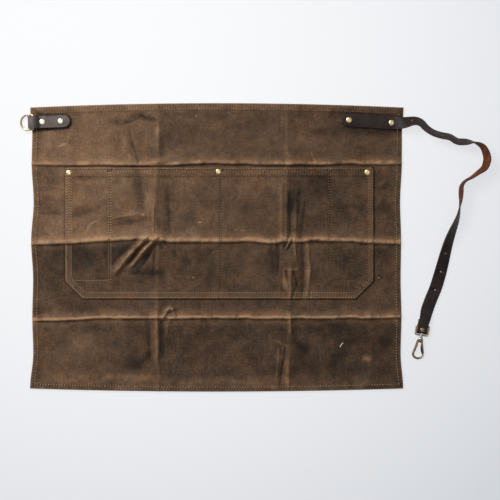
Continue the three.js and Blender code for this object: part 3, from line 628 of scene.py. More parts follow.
# thin pale scratches: points along the line, half width, change of tone
SCRATCHES = [
    ([(-210, 24), (-206, 35), (-200, 41), (-191, 44.5)], 1.0, 0.30),
    ([(-253, 163), (-248, 166), (-241, 167)], 1.3, 0.38),
    ([(-96, 186), (-95, 166), (-92, 139)], 1.7, 0.13), ([(30, 30), (44, 28)], 0.8, 0.18),
    ([(232, -186), (250, -188)], 1.0, 0.14), ([(-60, -60), (-48, -66), (-40, -64)], 0.7, 0.12),
    ([(60, 170), (72, 176)], 0.7, 0.12), ([(-286, -140), (-279, -130)], 1.0, 0.16),
    ([(-286, 80), (-276, 77)], 1.4, 0.16), ([(-150, 52), (-124, 56)], 1.0, 0.14),
    ([(108, 164), (117, 137)], 2.2, 0.08),
]
# middle lines of the leather on the cloth, beside which the cloth gets a dark line of painted shadow
LEATHER_LINES = [[(-293, 201.6), (-245.1, 203.7)], [(211.6, 205.4), (279, 200.9), (299, 200.9)]]
# scraps of lint that lie on the cloth
LINT = [
    ([(196.8, -157.5), (199, -153.6), (201.4, -151.3)], 0.6), ([(258, -46.6), (259.8, -47.4)], 0.32),
    ([(-118.8, 54.4), (-117.4, 54)], 0.26), ([(-28, 42), (-25.8, 41.7)], 0.3),
    ([(-34, 212.4), (-32.8, 211.9)], 0.3), ([(-38.6, -46), (-37.8, -46.6)], 0.3),
    ([(213.4, 84), (214.4, 83.5)], 0.26), ([(3.6, 61.6), (3.9, 60.4)], 0.26),
]


def near_line(x, y, points):
    """Distance to a line of points."""
    best = np.full(np.shape(x), 1e9)
    for (x0, y0), (x1, y1) in zip(points, points[1:]):
        dx, dy = x1 - x0, y1 - y0
        t = np.clip(((x - x0) * dx + (y - y0) * dy) / (dx * dx + dy * dy), 0, 1)
        best = np.minimum(best, np.hypot(x - x0 - t * dx, y - y0 - t * dy))
    return best


def field_tone(x, y, warp_x):
    """Tone of the fields between the folds, partly wax and partly painted light, with faint blotches that
    are stronger low down.
    """
    tone = np.zeros(np.shape(x))
    for (low, high), tones in FIELD_TONES:
        share = smoothstep(low - 5, low + 1, y) * (1 - smoothstep(high - 5, high + 1, y))
        tone += share * np.interp(warp_x, TONE_PLACES, tones)
    blotched = 1 + 0.9 * smoothstep(30, -20, y)
    return tone + blotched * (0.025 * lumps(x, y, 30, 51) + 0.02 * lumps(x, y, 15, 52))


def patch_tone(x, y, warp_x, warp_y):
    """Change of tone by the soft patches; the broad ones have a wavering outline."""
    mottled = 1 + 0.45 * lumps(x, y, 8, 26)
    between_x, between_y = (x + warp_x) / 2, (y + warp_y) / 2
    tone = np.zeros(np.shape(x))
    for cx, cy, half_x, half_y, change in PATCHES:
        px, py = (between_x, between_y) if min(half_x, half_y) > 6 else (x, y)
        away = ((px - cx) / half_x) ** 2 + ((py - cy) / half_y) ** 2
        tone += change * mottled * np.exp(-0.8 * away ** 1.3)
    return tone


def column_light_and_shade(x, y):
    """Painted light and shade at each fold that runs down the cloth: paler before it, on its lit left side,
    and darker just past it.
    """
    heights = np.ravel([(low + 3, high - 3) for (low, high), _ in reversed(FIELD_TONES)])
    tone = np.zeros(np.shape(x))
    for fold, steps in zip(COLUMN_FOLDS, COLUMN_SHADE_STEPS):
        past = x - along(fold["crest"], y) - 0.8 * lumps(x * 0, y, 15, 29)
        side = smoothstep(-2.2, 2.2, past) - 0.5
        tone += np.interp(y, heights, np.repeat(steps, 2)) * side * gauss(past, np.where(past > 0, 46, 30))
    return tone


def painted_crease_shade(x, y):
    """Painted shade: a dark line in the crease under each fold that crosses the apron."""
    tone = np.zeros(np.shape(x))
    for fold in ROW_FOLDS:
        under = y - crest_at(fold, x) + 0.95 * fold["below"]
        crease_shade = fold["crease_shade"] * (0.7 + 0.3 * np.clip(2.2 * lumps(x, y * 0, 52, 28) + 0.8, -1, 1))
        for middle, half in fold["closed"]:
            crease_shade = crease_shade * (1 - 0.85 * np.exp(-((x - middle) / half) ** 4))
        # painted shade in the crease, just under the crest
        tone += crease_shade * (gauss(under, 1.15) + 0.25 * gauss(under, 4.5))
    return tone


def painted_leather_shadow(x, y):
    """Painted shadow of the strips of leather on the cloth: a dark line beside them, towards the lower
    right, and a wide faint one.
    """
    tone = np.zeros(np.shape(x))
    for points in LEATHER_LINES:
        beside = np.abs(near_line(x - 0.9, y + 1.3, points) - STRAP_WIDTH / 2) - 0.4
        tone += 0.8 * gauss(np.maximum(beside, 0), 1.7)
        tone += 0.10 * gauss(np.maximum(near_line(x, y, points) - 14, 0), 7)
    return tone


def toning(x, y):
    """Tone of the cloth from 0 to 1: wax and painted light of each field, stains, scratches, and painted
    light and shade at folds and leather.
    """
    warp_x = x + 12 * lumps(x, y, 34, 21) + 6 * lumps(x, y, 12, 22)
    warp_y = y + 9 * lumps(x, y, 24, 24) + 4 * lumps(x, y, 9, 25)
    tone = field_tone(x, y, warp_x) + patch_tone(x, y, warp_x, warp_y)
    # painted light and shade at the column folds, painted shade in the creases and painted shadow beside the
    # leather
    tone -= column_light_and_shade(x, y) + painted_crease_shade(x, y) + painted_leather_shadow(x, y)
    for points, half, change in SCRATCHES:
        tone += change * gauss(near_line(x, y, points), half)
    # painted shade in the valleys of the wrinkles
    for start, end, half, height in WRINKLES:
        if height < -1:
            tone += 0.068 * wrinkle(x, y, start, end, half, height)
    return np.clip(tone, 0, 1)


def scuffing(x, y, edge):
    """How far the wax is rubbed off raised folds and edges, with painted highlight on the lit flanks of the
    folds and ridges, from 0 to 1.
    """
    rub_and_light = 0.40 * gauss(edge, 1.6)
    # the band just above each crest is rubbed wax and painted highlight on the lit upper flank
    for fold in ROW_FOLDS:
        rubbed_and_lit = fold["rubbed_and_lit"] * (1 + 0.4 * lumps(x, y * 0, 30, 33))
        above = y - crest_at(fold, x) - 0.8 * fold["band"]
        rub_and_light += rubbed_and_lit * (0.76 * gauss(above, fold["band"]) + 0.24 * gauss(above, 10))
    # just left of each column fold's crest: wear and painted highlight on its lit side
    for fold in COLUMN_FOLDS:
        rub_and_light += fold["rubbed_and_lit"] * gauss(x - along(fold["crest"], y) + 1.5, 2.6)
    for start, end, half, height in WRINKLES:
        if height > 1.2:
            rub_and_light += 0.12 * wrinkle(x, y, start, end, half, height)
    # all of it patchy
    rub_and_light *= 0.8 + 0.45 * lumps(x, y, 9, 31) + 0.25 * lumps(x, y, 3.4, 32)
    return np.clip(rub_and_light, 0, 1)


def puckering(along_edge, inner, width):
    """Place along a hem in stitches, and how strongly the hem is gathered by them."""
    return along_edge / PITCH, np.exp(-((inner + width / 2) / (width * 0.42)) ** 4)


def cloth_layers(obj, kept, **layers):
    """Stores fields of the cloth, the same on its top and its underside."""
    for name, values in layers.items():
        float_layer(obj, name, np.concatenate([values.ravel(), values[kept]]))


# ---------------------------------------------------------------- pocket patch
POCKET_LEFT, POCKET_RIGHT = pocket_low[0], pocket_high[0]
POCKET_BOTTOM, POCKET_TOP = pocket_low[1], pocket_high[1]
POCKET_HEM = 12.0
POCKET_CORNER = 4.0
DIVIDERS = [-171.7, 5.6, 180.3]
CLOSING_ROW = -51.0
# rows of stitches: distances in from the patch's edge, down from its mouth, and from a divider's middle
OUTER_ROW, INNER_ROW = 2.0, 9.6
MOUTH_ROWS = (2.4, 10.4)
BESIDE_DIVIDER = 1.9
# radius at which the right divider's rows turn into its closing row
TURN_RADIUS = 9.0


def pocket_inset(y):
    """How far the patch's side edges stand in at a height: chamfers below, rounded corners above."""
    chamfer = np.clip(POCKET_CHAMFER - (y - POCKET_BOTTOM), 0, None)
    up = np.clip(y - (POCKET_TOP - POCKET_CORNER), 0, POCKET_CORNER)
    return chamfer + POCKET_CORNER - np.sqrt(np.maximum(POCKET_CORNER ** 2 - up ** 2, 0))


def pocket_grid():
    """Points of the patch in plan: fine along its edges and where folds cross it."""
    near = np.array([0, 0.25, 0.7, 1.3, 2.2, 3.4, 4.8, 6.4, 8, 9.4, 10.6, 11.8])
    low = np.concatenate([near, np.arange(13.4, 29, 1.7)])
    high = np.array([0, 0.25, 0.7, 1.3, 2.2, 3.2, 4.4, 6, 7.6, 9.2, 10.6, 11.7, 12.2, 13.3])[::-1]
    inner_y = graded(POCKET_BOTTOM + 30, POCKET_TOP - 14.5, FINE_ROWS)
    y = np.concatenate([POCKET_BOTTOM + low, inner_y, POCKET_TOP - high])[:, None]
    inner_x = graded(POCKET_LEFT + 13.4, POCKET_RIGHT - 13.3, FINE_COLUMNS)
    flat_x = np.concatenate([POCKET_LEFT + near, inner_x, POCKET_RIGHT - near[::-1]])[None]
    middle, half = (POCKET_LEFT + POCKET_RIGHT) / 2, (POCKET_RIGHT - POCKET_LEFT) / 2
    from_side = 1 - np.abs(flat_x - middle) / half
    x = flat_x + np.sign(middle - flat_x) * pocket_inset(y) * (1 - smoothstep(0, 0.35, from_side))
    return x, y + np.zeros_like(x)


def from_outline(x, y):
    """Distance in from the patch's sides, chamfers and bottom; negative outside them."""
    sides = np.minimum(x - POCKET_LEFT, POCKET_RIGHT - x)
    corner = (sides + y - POCKET_BOTTOM - POCKET_CHAMFER) / math.sqrt(2)
    return np.minimum.reduce([sides, y - POCKET_BOTTOM, corner])


def pocket_edge(x, y):
    """Distance in from the patch's outline, without its top edge, and from the top edge."""
    return np.maximum(from_outline(x, y), 0), np.maximum(POCKET_TOP - y, 0)


def painted_pocket_shadow(x, y):
    """Painted shadow of the patch on the panel beside its sides, chamfers and bottom; darkest on the right.
    """
    depth = 0.25 + 0.75 * smoothstep(-150, 60, x)
    depth = np.where(x - POCKET_LEFT < 6, 0.22, depth)
    return np.where(y < POCKET_TOP + 1, depth * np.exp(-(from_outline(x, y) / 2.1) ** 4), 0)


def seam_grooves(x, y, outline, top):
    """Depth to which the rows of stitches pull the patch down."""
    depth = 0.35 * (gauss(outline - OUTER_ROW, 0.9) + gauss(outline - INNER_ROW, 1.1))
    depth = depth + 0.3 * gauss(top - MOUTH_ROWS[1], 1.0)
    for divider in DIVIDERS:
        low_end = POCKET_BOTTOM if divider == DIVIDERS[1] else CLOSING_ROW
        depth = depth + 0.55 * smoothstep(low_end - 2, low_end + 2, y) * gauss(x - divider, 3.0)
    ends = (x < DIVIDERS[0]) | (x > DIVIDERS[2])
    return depth + np.where(ends, 0.4 * gauss(y - CLOSING_ROW, 1.6), 0)


def pocket_heights(x, y):
    """Heights of the patch's underside and top, on the panel, at points in plan."""
    outline, top = pocket_edge(x, y)
    grooves = seam_grooves(x, y, outline, top)
    # one more layer along the turned edges, two more at the mouth's hem
    turned_edge = np.maximum(smoothstep(12.4, 11.2, outline), 2 * smoothstep(15, 12, top))
    layers = 1 + np.where(top <= POCKET_HEM, 2.0, turned_edge)
    # inside its seams and at its mouth the cloth stands off the panel a little
    loose = smoothstep(0, 26, outline - 9) * (0.45 + 0.5 * np.clip(lumps(x, y, 44, 41), -0.6, 1))
    mouth = gauss(top, 16) * (0.5 + 0.5 * lumps(x, y * 0, 60, 42))
    lift = np.maximum(loose + mouth + 0.35 * gauss(outline, 1.2) - grooves, 0)
    step = 0.6 * np.exp(-np.maximum(outline - 12.4, 0) / 3) * (layers == 1)
    half = layers * CLOTH / 2
    middle = panel_top_at(x, y) + 0.25 + lift + step + half
    half = half * rim(np.minimum(outline, top), 1.2)
    return middle - half, middle + half - grooves * 0.8


def pocket_top_at(x, y):
    """Top of the patch at points in plan."""
    return pocket_heights(x, y)[1]


def make_pocket(material):
    """The patch's cloth, with the fields that its material reads."""
    x, y = pocket_grid()
    vertices, faces, kept = slab_mesh(x, y, *pocket_heights(x, y))
    obj = mesh_object("pocket_cloth", vertices, faces, [material])
    outline, top = pocket_edge(x, y)
    edge = np.minimum(outline, top)
    rubbed_border = 0.16 * np.exp(-((outline - 5) / 4.5) ** 4)
    scuff = np.clip(scuffing(x, y, edge) + rubbed_border, 0, 1)
    from_side = np.minimum(x - POCKET_LEFT, POCKET_RIGHT - x)
    from_end = np.minimum(top - 1, y - POCKET_BOTTOM)
    count, gather = puckering(np.where(from_side < from_end, y, x), edge - 11, 11.0)
    cloth_layers(obj, kept, scuff=scuff, tone=toning(x, y), stitch=count, gather=gather)
    return obj


# ---------------------------------------------------------------- stitching
PITCH = 4.3
THREAD = 0.42
HOLE_RADIUS = 1.0
# distances in from the panel's edges
HEM_ROW, WAIST_ROW = 7.4, 9.4
# share of each stitch's length that lies bare between two threads
BARE = 0.48
# one thread, which dips into the cloth at both ends: share of its length, height and thickness there
THREAD_SHAPE = [(0, -0.5, 0.35), (0.08, 0.1, 0.85), (0.28, 0.55, 1), (0.5, 0.65, 1), (0.72, 0.55, 1),
                (0.92, 0.1, 0.85), (1, -0.5, 0.35)]


def stitches(row, top):
    """Threads along a row in plan, on the surface that top gives."""
    marks = resampled(row, PITCH)
    step = np.diff(marks, axis=0)
    start, thread = marks[:-1] + step * BARE / 2, step * (1 - BARE)
    share, height, thick = np.array(THREAD_SHAPE).T
    plan = start[:, None] + thread[:, None] * share[None, :, None]
    z = top(plan[..., 0], plan[..., 1]) + height[None] * THREAD
    centre = np.concatenate([plan, z[..., None]], -1)
    way = unit(step)
    side = np.stack([-way[:, 1], way[:, 0], np.zeros(len(way))], 1)[:, None, None]
    turn = np.linspace(0, 2 * math.pi, 6, endpoint=False)[None, None, :, None]
    rings = centre[:, :, None] + THREAD * thick[None, :, None, None] * (
        np.cos(turn) * side + np.sin(turn) * np.array([0, 0, 1.0]))
    points, faces = loft(rings[0])
    return rings.reshape(-1, 3), copies(faces, len(rings), len(points))


def needle_hole_shades(row, top):
    """Dark puckers, painted shade of the needle holes, where the thread goes down between the stitches of a
    row.
    """
    marks = resampled(row, PITCH)
    places = np.column_stack([marks, top(marks[:, 0], marks[:, 1])])
    shape, faces = lathe([(0, -0.5), (HOLE_RADIUS, 0.02), (0.3, 0.14), (0, 0.16)], 6)
    points = places[:, None] + shape[None]
    return points.reshape(-1, 3), copies(faces, len(places), len(shape))


def panel_rows():
    """Rows of stitches round the panel's hems."""
    ys = np.linspace(PANEL_BOTTOM + 7, PANEL_TOP - WAIST_ROW, 90)
    left = np.stack([side_at("left", ys) + HEM_ROW, ys], 1)
    right = np.stack([side_at("right", ys) - HEM_ROW, ys], 1)
    xs = np.linspace(PANEL_LEFT + 6, PANEL_RIGHT - 6, 90)
    high = np.stack([xs, PANEL_TOP - WAIST_ROW + bow(xs, PANEL_TOP)], 1)
    low = np.stack([xs, PANEL_BOTTOM + HEM_ROW + bow(xs, PANEL_BOTTOM)], 1)
    return [left, right, low], [high]


def pocket_outline(inset):
    """Sides, chamfers and bottom of the patch at a distance in from its edge."""
    left, right = POCKET_LEFT + inset, POCKET_RIGHT - inset
    low = POCKET_BOTTOM + inset
    cut = POCKET_CHAMFER + inset * (math.sqrt(2) - 2)
    top = POCKET_TOP - 2
    return [(left, top), (left, low + cut), (left + cut, low), (right - cut, low), (right, low + cut),
            (right, top)]


def pocket_rows():
    """Rows of stitches on the patch: pale at its left and bottom, still waxed elsewhere."""
    left, middle, right = DIVIDERS
    outlines = [pocket_outline(OUTER_ROW), pocket_outline(INNER_ROW)]
    pale_rows = [outline[:4] for outline in outlines]
    waxed_rows = [outline[3:] for outline in outlines]
    waxed_rows += [[(POCKET_LEFT + 3, POCKET_TOP - down), (POCKET_RIGHT - 3, POCKET_TOP - down)]
                   for down in MOUTH_ROWS]
    pale_rows.append([(left - 2, CLOSING_ROW), (POCKET_LEFT + 2, CLOSING_ROW)])
    for shift in (-BESIDE_DIVIDER, BESIDE_DIVIDER):
        pale_rows.append([(left + shift, POCKET_TOP - 2), (left + shift, CLOSING_ROW)])
        waxed_rows.append([(middle + shift, POCKET_TOP - 2), (middle + shift, POCKET_BOTTOM + INNER_ROW)])
        radius = TURN_RADIUS - shift
        waxed_rows.append([(right + shift, POCKET_TOP - 2), (right + shift, CLOSING_ROW + radius)]
                          + arc_points(right + TURN_RADIUS, CLOSING_ROW + radius, radius, 180, 270)
                          + [(POCKET_RIGHT - INNER_ROW, CLOSING_ROW)])
    # bar tacks across the dividers at the mouth
    for divider in DIVIDERS:
        for k in range(4):
            y = POCKET_TOP - 2.2 - 0.9 * k
            waxed_rows.append([(divider - 3.4, y), (divider + 3.4, y)])
    return pale_rows, waxed_rows


def make_stitching(name, rows, top, material, hole):
    """The threads and the dark needle-hole shades of several rows, as one piece."""
    threads = merged([stitches(row, top) for row in rows])
    marks = merged([needle_hole_shades(row, top) for row in rows])
    slots = np.repeat([0, 1], [len(threads[1]), len(marks[1])])
    return mesh_object(name, *merged([threads, marks]), [material, hole], face_slots=slots)


def cloth_top_at(x, y):
    """Top of the patch where it lies on the panel, and of the panel elsewhere."""
    on_patch = (from_outline(x, y) > 0) & (y < POCKET_TOP)
    return np.where(on_patch, pocket_top_at(x, y), panel_top_at(x, y))


def make_lint(material):
    """Scraps of pale thread on the cloth."""
    parts = []
    for points, radius in LINT:
        line = resampled(points, 0.7)
        height = cloth_top_at(line[:, 0], line[:, 1]).max() + radius
        parts.append(tube(np.column_stack([line, np.full(len(line), height)]), radius, 8))
    return mesh_object("lint_scraps", *merged(parts), [material])


# ---------------------------------------------------------------- leather strips
# steps round each corner of a strip's section
CORNER_STEPS = 4
# distances from a strip's rounded end at which it has stations, and where the even ones begin
END_STEPS = np.array([0, 0.12, 0.5, 1.1, 1.9, 3, 4.4, 6, 7.8])
EVEN_FROM = 9.6
UP = np.array([0, 0, 1.0])


def strip_section(width, thick, round_edge):
    """Section of a strip: across and outwards, counter-clockwise about its way, hair side outwards."""
    half, up = width / 2, thick / 2
    r = min(round_edge, up * 0.98, half * 0.98)
    points = []
    for across, out, start in ((half - r, r - up, -90), (half - r, up - r, 0), (r - half, up - r, 90),
                               (r - half, r - up, 180)):
        points += arc_points(across, out, r, start, start + 90, CORNER_STEPS + 1)
    return np.array(points)


def side_slots(sides):
    """Slot of each side of the section: 0 hair side, 1 flesh side, 2 rounded edges."""
    slots = np.full(sides, 2)
    slots[sides // 2 - 1], slots[-1] = 0, 1
    return slots


def strip_mesh(stations, round_edge=0.7):
    """Strip through stations of centre, way, across, width and thickness, with its faces' slots."""
    rings = []
    for centre, way, across, width, thick in stations:
        section = strip_section(width, thick, round_edge)
        out = unit(np.cross(way, across))
        rings.append(centre + section[:, :1] * across + section[:, 1:] * out)
    vertices, faces = loft(rings)
    slots = np.tile(side_slots(len(rings[0])), len(rings) - 1)
    return vertices, faces, np.concatenate([slots, [2, 2]])


def catmull_rom(points, steps):
    """Centripetal curve through points, with that many samples on each span."""
    points = np.asarray(points, float)
    padded = np.vstack([2 * points[0] - points[1], points, 2 * points[-1] - points[-2]])
    t = np.linspace(0, 1, steps, endpoint=False)[:, None]
    out = []
    for i in range(len(points) - 1):
        four = padded[i:i + 4]
        spans = np.diff(four, axis=0)
        d0, d1, d2 = np.maximum(np.linalg.norm(spans[:, :3], axis=1) ** 0.5, 1e-4)
        m1 = (spans[0] / d0 - (four[2] - four[0]) / (d0 + d1) + spans[1] / d1) * d1
        m2 = (spans[1] / d1 - (four[3] - four[1]) / (d1 + d2) + spans[2] / d2) * d1
        out.append((2 * t ** 3 - 3 * t ** 2 + 1) * four[1] + (t ** 3 - 2 * t ** 2 + t) * m1
                   + (3 * t ** 2 - 2 * t ** 3) * four[2] + (t ** 3 - t ** 2) * m2)
    return np.concatenate(out + [points[-1:]])


def rounded_width(full, from_end):
    """Width of a strip with a half-round end, at a distance from that end."""
    half = full / 2
    if from_end >= half:
        return full
    return 2 * math.sqrt(max(half * half - (half - from_end) ** 2, 0.15))


# ---------------------------------------------------------------- waist strap
# in metres: x, y, height of what lies below, and roll in degrees
STRAP_ROUTE = [
    (.2016, .2061, .0012, 0), (.2112, .2054, .0012, 0), (.246, .2031, .0012, 0), (.262, .202, .0015, 0),
    (.279, .2009, .0024, 0), (.285, .2007, .003, 0), (.291, .2006, .0033, -10), (.299, .2009, .0033, -27),
    (.3098, .2032, .001, -44), (.3181, .2037, -.0005, -50), (.3258, .2008, -.001, -54),
    (.335, .1917, -.001, -58), (.3458, .1848, -.001, -60), (.3603, .1802, -.001, -60),
    (.3717, .1779, -.001, -60), (.384, .171, -.001, -60), (.3994, .1702, -.001, -64),
    (.4115, .1693, -.001, -88), (.4246, .1624, -.001, -108), (.4315, .1458, -.001, -119),
    (.431, .1381, -.001, -119), (.4272, .1288, -.001, -114), (.4176, .1213, -.001, -105),
    (.4069, .1136, -.001, -98), (.3962, .1075, -.001, -95), (.3909, .1, -.001, -99),
    (.3898, .0904, -.001, -103), (.3894, .0784, -.001, -96), (.388, .068, -.001, -87),
    (.386, .0554, -.001, -77), (.3824, .0432, -.001, -67), (.3776, .0312, -.001, -57),
    (.3717, .0155, -.001, -45), (.3662, -.003, -.001, -34), (.3602, -.0269, -.001, -19),
    (.3556, -.0442, -.001, -8), (.3496, -.0637, -.001, 0), (.3436, -.0782, -.001, 0),
    (.3379, -.093, -.001, 0), (.3357, -.1, -.0005, 0), (.3337, -.1084, .0014, 0), (.332, -.115, .0033, 0),
]
STRAP_HOLES = [(309.8, 203.9), (360.3, 180.6), (365.2, -7), (357.6, -37), (348.8, -66.1)]
CLIP_ORIGIN = np.array([327, -138.7, 3.0])
CLIP_TILT = math.radians(9)
HOOK_DROOP = math.radians(3.46)
EYE_TOP, EYE_MIDDLE = 16.0, 5.0
STRAP_END_WIDTH, STRAP_END_LEATHER = 17.2, 1.6
FOLD_RADIUS, STUD_AT, STRAP_STEP = 2.3, 8.75, 1.6
# the last stations of the route, where the strap is already thin
THIN_STATIONS = 3
# profiles that are cut from the strap, as radius and height: a punched hole, and the notch round the
# swivel's post
PUNCHED = [(0, -5), (0.5, -5), (0.5, -1.0), (1.7, 1.2), (1.7, 5), (0, 5)]
NOTCH = [(0, -EYE_MIDDLE), (2.6, -EYE_MIDDLE), (2.6, EYE_MIDDLE - 1.4), (0, EYE_MIDDLE - 1.4)]
# the tail behind the eye: distance back, and how far it has dropped to the table
TAIL_DROPS = [(STUD_AT, 0), (12, 0), (EYE_TOP, 0), (18, 0), (19.5, 0.15), (21, 0.45), (22.5, 0.6), (25, 0.6)]
clip_across = np.array([math.cos(CLIP_TILT), -math.sin(CLIP_TILT), 0])
clip_back = np.array([math.sin(CLIP_TILT), math.cos(CLIP_TILT), 0])


def clip_point(across, back, height):
    """Point in the clip's own directions, at a height above the table."""
    return np.array([CLIP_ORIGIN[0], CLIP_ORIGIN[1], height]) + across * clip_across + back * clip_back


def strap_line():
    """Centre line of the strap from its attached end to the clip: length, x, y, height and roll."""
    route = []
    for i, (x, y, below, roll) in enumerate(STRAP_ROUTE):
        thick = LEATHER if i < len(STRAP_ROUTE) - THIN_STATIONS else STRAP_END_LEATHER
        angle = math.radians(roll)
        rise = STRAP_WIDTH / 2 * abs(math.sin(angle)) + thick / 2 * abs(math.cos(angle))
        route.append((x / MM, y / MM, below / MM + rise, roll))
    route.append((*clip_point(0, EYE_TOP + 2, CLIP_ORIGIN[2] + FOLD_RADIUS), 0))
    line = resampled(catmull_rom(route, 24), STRAP_STEP)
    lengths = lengths_along(line[:, :3])
    at = np.concatenate([END_STEPS, np.arange(EVEN_FROM, lengths[-1], STRAP_STEP), [lengths[-1]]])
    return at, points_at(line, lengths, at)


def run_stations():
    """Stations of the strap up to the clip; it rolls on edge in its bends and thins at the clip."""
    at, line = strap_line()
    ways = unit(np.gradient(line[:, :3], at, axis=0))
    stations = []
    for length, (x, y, z, roll), way in zip(at, line, ways):
        angle = math.radians(roll)
        across = unit(np.cross(UP, way)) * math.cos(angle) + UP * math.sin(angle)
        across = unit(across - way * np.dot(across, way))
        full = float(smoothstep(2, 26, at[-1] - length))
        width = STRAP_END_WIDTH + (STRAP_WIDTH - STRAP_END_WIDTH) * full
        thick = STRAP_END_LEATHER + (LEATHER - STRAP_END_LEATHER) * full
        width = min(rounded_width(STRAP_WIDTH, length), width)
        stations.append((np.array([x, y, z]), way, across, width, thick))
    return stations


def fold_stations():
    """Stations of the strap's thinned end: over the clip's bar, round it, and back as the tail."""
    end = (clip_across, STRAP_END_WIDTH, STRAP_END_LEATHER)
    middle, tail = CLIP_ORIGIN[2], CLIP_ORIGIN[2] - FOLD_RADIUS
    stations = [(clip_point(0, back, middle + FOLD_RADIUS), -clip_back, *end)
                for back in np.linspace(EYE_TOP, EYE_MIDDLE + 1.5, 6)]
    for angle in np.linspace(math.pi / 2, 3 * math.pi / 2, 17):
        out, rise = math.cos(angle), math.sin(angle)
        centre = clip_point(0, EYE_MIDDLE + FOLD_RADIUS * out, middle + FOLD_RADIUS * rise)
        stations.append((centre, UP * out - clip_back * rise, *end))
    for back, drop in TAIL_DROPS:
        stations.append((clip_point(0, back, tail - drop), clip_back, *end))
    return stations


def combined(obj, operation, part, material):
    """Joins a closed part to an object, or cuts it out, and keeps the result as the object's mesh."""
    tool = mesh_object("tool", *part, [material])
    modifier = obj.modifiers.new("tool", "BOOLEAN")
    modifier.operation = operation
    modifier.solver = "EXACT"
    modifier.material_mode = "TRANSFER"
    modifier.object = tool
    depsgraph = bpy.context.evaluated_depsgraph_get()
    mesh = bpy.data.meshes.new_from_object(obj.evaluated_get(depsgraph))
    old = obj.data
    obj.modifiers.clear()
    obj.data = mesh
    bpy.data.meshes.remove(old)
    bpy.data.objects.remove(tool)


def make_strap(hair, flesh, edge, raw):
    """The strap, with its punched holes and the notch that clears the swivel's post."""
    stations = run_stations() + fold_stations()
    vertices, faces, slots = strip_mesh(stations)
    obj = mesh_object("strap_leather", vertices, faces, [hair, flesh, edge, raw], face_slots=slots)
    cuts = [(clip_point(0, 0, CLIP_ORIGIN[2]), clip_back, NOTCH)]
    for x, y in STRAP_HOLES:
        centre, way, across = min(stations, key=lambda s: math.hypot(s[0][0] - x, s[0][1] - y))[:3]
        cuts.append((centre, unit(np.cross(way, across)), PUNCHED))
    for centre, axis, profile in cuts:
        turn = Vector((0, 0, 1)).rotation_difference(Vector(axis)).to_matrix().to_4x4()
        cutter = placed(lathe(profile, 28), Matrix.Translation(Vector(centre)) @ turn)
        combined(obj, "DIFFERENCE", cutter, raw)
    return obj, [station[0] for station in stations]


# ---------------------------------------------------------------- D-ring and tab
TAB_TILT = math.radians(2.5)
TAB_PIVOT = np.array([-293.6, 201.6, 7.3])
RING_WIRE, RING_HALF, RING_ARM, RING_DROOP = 1.55, 11.8, 9.4, math.radians(18.9)
TAB_TAIL, TAB_END, TAB_FOLD, TAB_SKIVED = 19.4, 58.4, -4.1, 1.1


def tab_route():
    """Centre line of the tab as distance past the bar, and height: the tail on the cloth, round
    the bar, and back over the tail."""
    on_cloth, on_hem = 1.2 + LEATHER / 2, HEM_LAYERS * CLOTH + 0.3 + LEATHER / 2
    on_tail = on_cloth + LEATHER + 0.3
    over_bar = TAB_PIVOT[2] + RING_WIRE + 0.3 + LEATHER / 2
    turn = (over_bar - on_hem) / 2
    route = [(TAB_TAIL, on_cloth), (13, on_cloth), (9.6, on_cloth + 0.28), (4.8, on_hem - 0.02),
             (0, on_hem), (TAB_FOLD, on_hem)]
    for k in range(1, 10):
        angle = -math.pi / 2 - math.pi * k / 10
        route.append((TAB_FOLD + turn * math.cos(angle), (over_bar + on_hem) / 2 + turn * math.sin(angle)))
    route += [(TAB_FOLD, over_bar), (0, over_bar), (2.6, over_bar - 0.15), (5.6, over_bar - 1.2),
              (9, on_tail + 0.75), (12, on_tail + 0.1), (15, on_tail), (18, on_tail - 0.2),
              (22, on_tail - 0.85), (26, on_cloth + 1.1), (30, on_cloth + 0.35), (34, on_cloth),
              (44, on_cloth), (TAB_END, on_cloth)]
    return route


def make_tab(hair, flesh, edge):
    """The tab: a strip with rounded ends, its tail skived to a thin edge, with painted shade over the bar
    and its slope down.
    """
    line = resampled(catmull_rom([(s, z, 0) for s, z in tab_route()], 16), 1.0)
    lengths = lengths_along(line)
    even = np.arange(EVEN_FROM, lengths[-1] - EVEN_FROM, 1.0)
    at = np.concatenate([END_STEPS, even, lengths[-1] - END_STEPS[::-1]])
    line = points_at(line, lengths, at)
    forward = np.array([math.cos(TAB_TILT), math.sin(TAB_TILT), 0])
    across = np.array([-math.sin(TAB_TILT), math.cos(TAB_TILT), 0])
    centres = TAB_PIVOT * [1, 1, 0] + line[:, :1] * forward + line[:, 1:2] * UP
    ways = unit(np.gradient(centres, at, axis=0))
    skived = TAB_SKIVED * (1 - smoothstep(0, 12, at))
    centres = centres - skived[:, None] / 2 * UP
    from_ends = np.minimum(at, lengths[-1] - at)
    stations = [(centre, way, across, rounded_width(STRAP_WIDTH, from_end), LEATHER - thinner)
                for centre, way, from_end, thinner in zip(centres, ways, from_ends, skived)]
    vertices, faces, slots = strip_mesh(stations)
    obj = mesh_object("tab_leather", vertices, faces, [hair, flesh, edge], face_slots=slots)
    past = (vertices - TAB_PIVOT) @ forward
    # share of painted shade: over the bar and down the slope towards the outer rivet
    float_layer(obj, "slope_shade", 0.75 * smoothstep(-3.5, 3, past) * smoothstep(13.5, 8, past))
    return obj


def make_ring(material):
    """D-shaped ring of round wire, with its straight bar through the tab's fold."""
    corner = 2.4
    points = (arc_points(-corner, RING_HALF - corner, corner, 0, 90, 7)
              + arc_points(-RING_ARM, 0, RING_HALF, 90, 270, 41)
              + arc_points(-corner, corner - RING_HALF, corner, 270, 360, 7))
    part = tube([(x, y, 0) for x, y in points], RING_WIRE, 20, closed=True)
    matrix = (Matrix.Translation(Vector(TAB_PIVOT)) @ Matrix.Rotation(TAB_TILT, 4, "Z")
              @ Matrix.Rotation(-RING_DROOP, 4, "Y"))
    return mesh_object("d_ring_wire", *placed(part, matrix), [material])


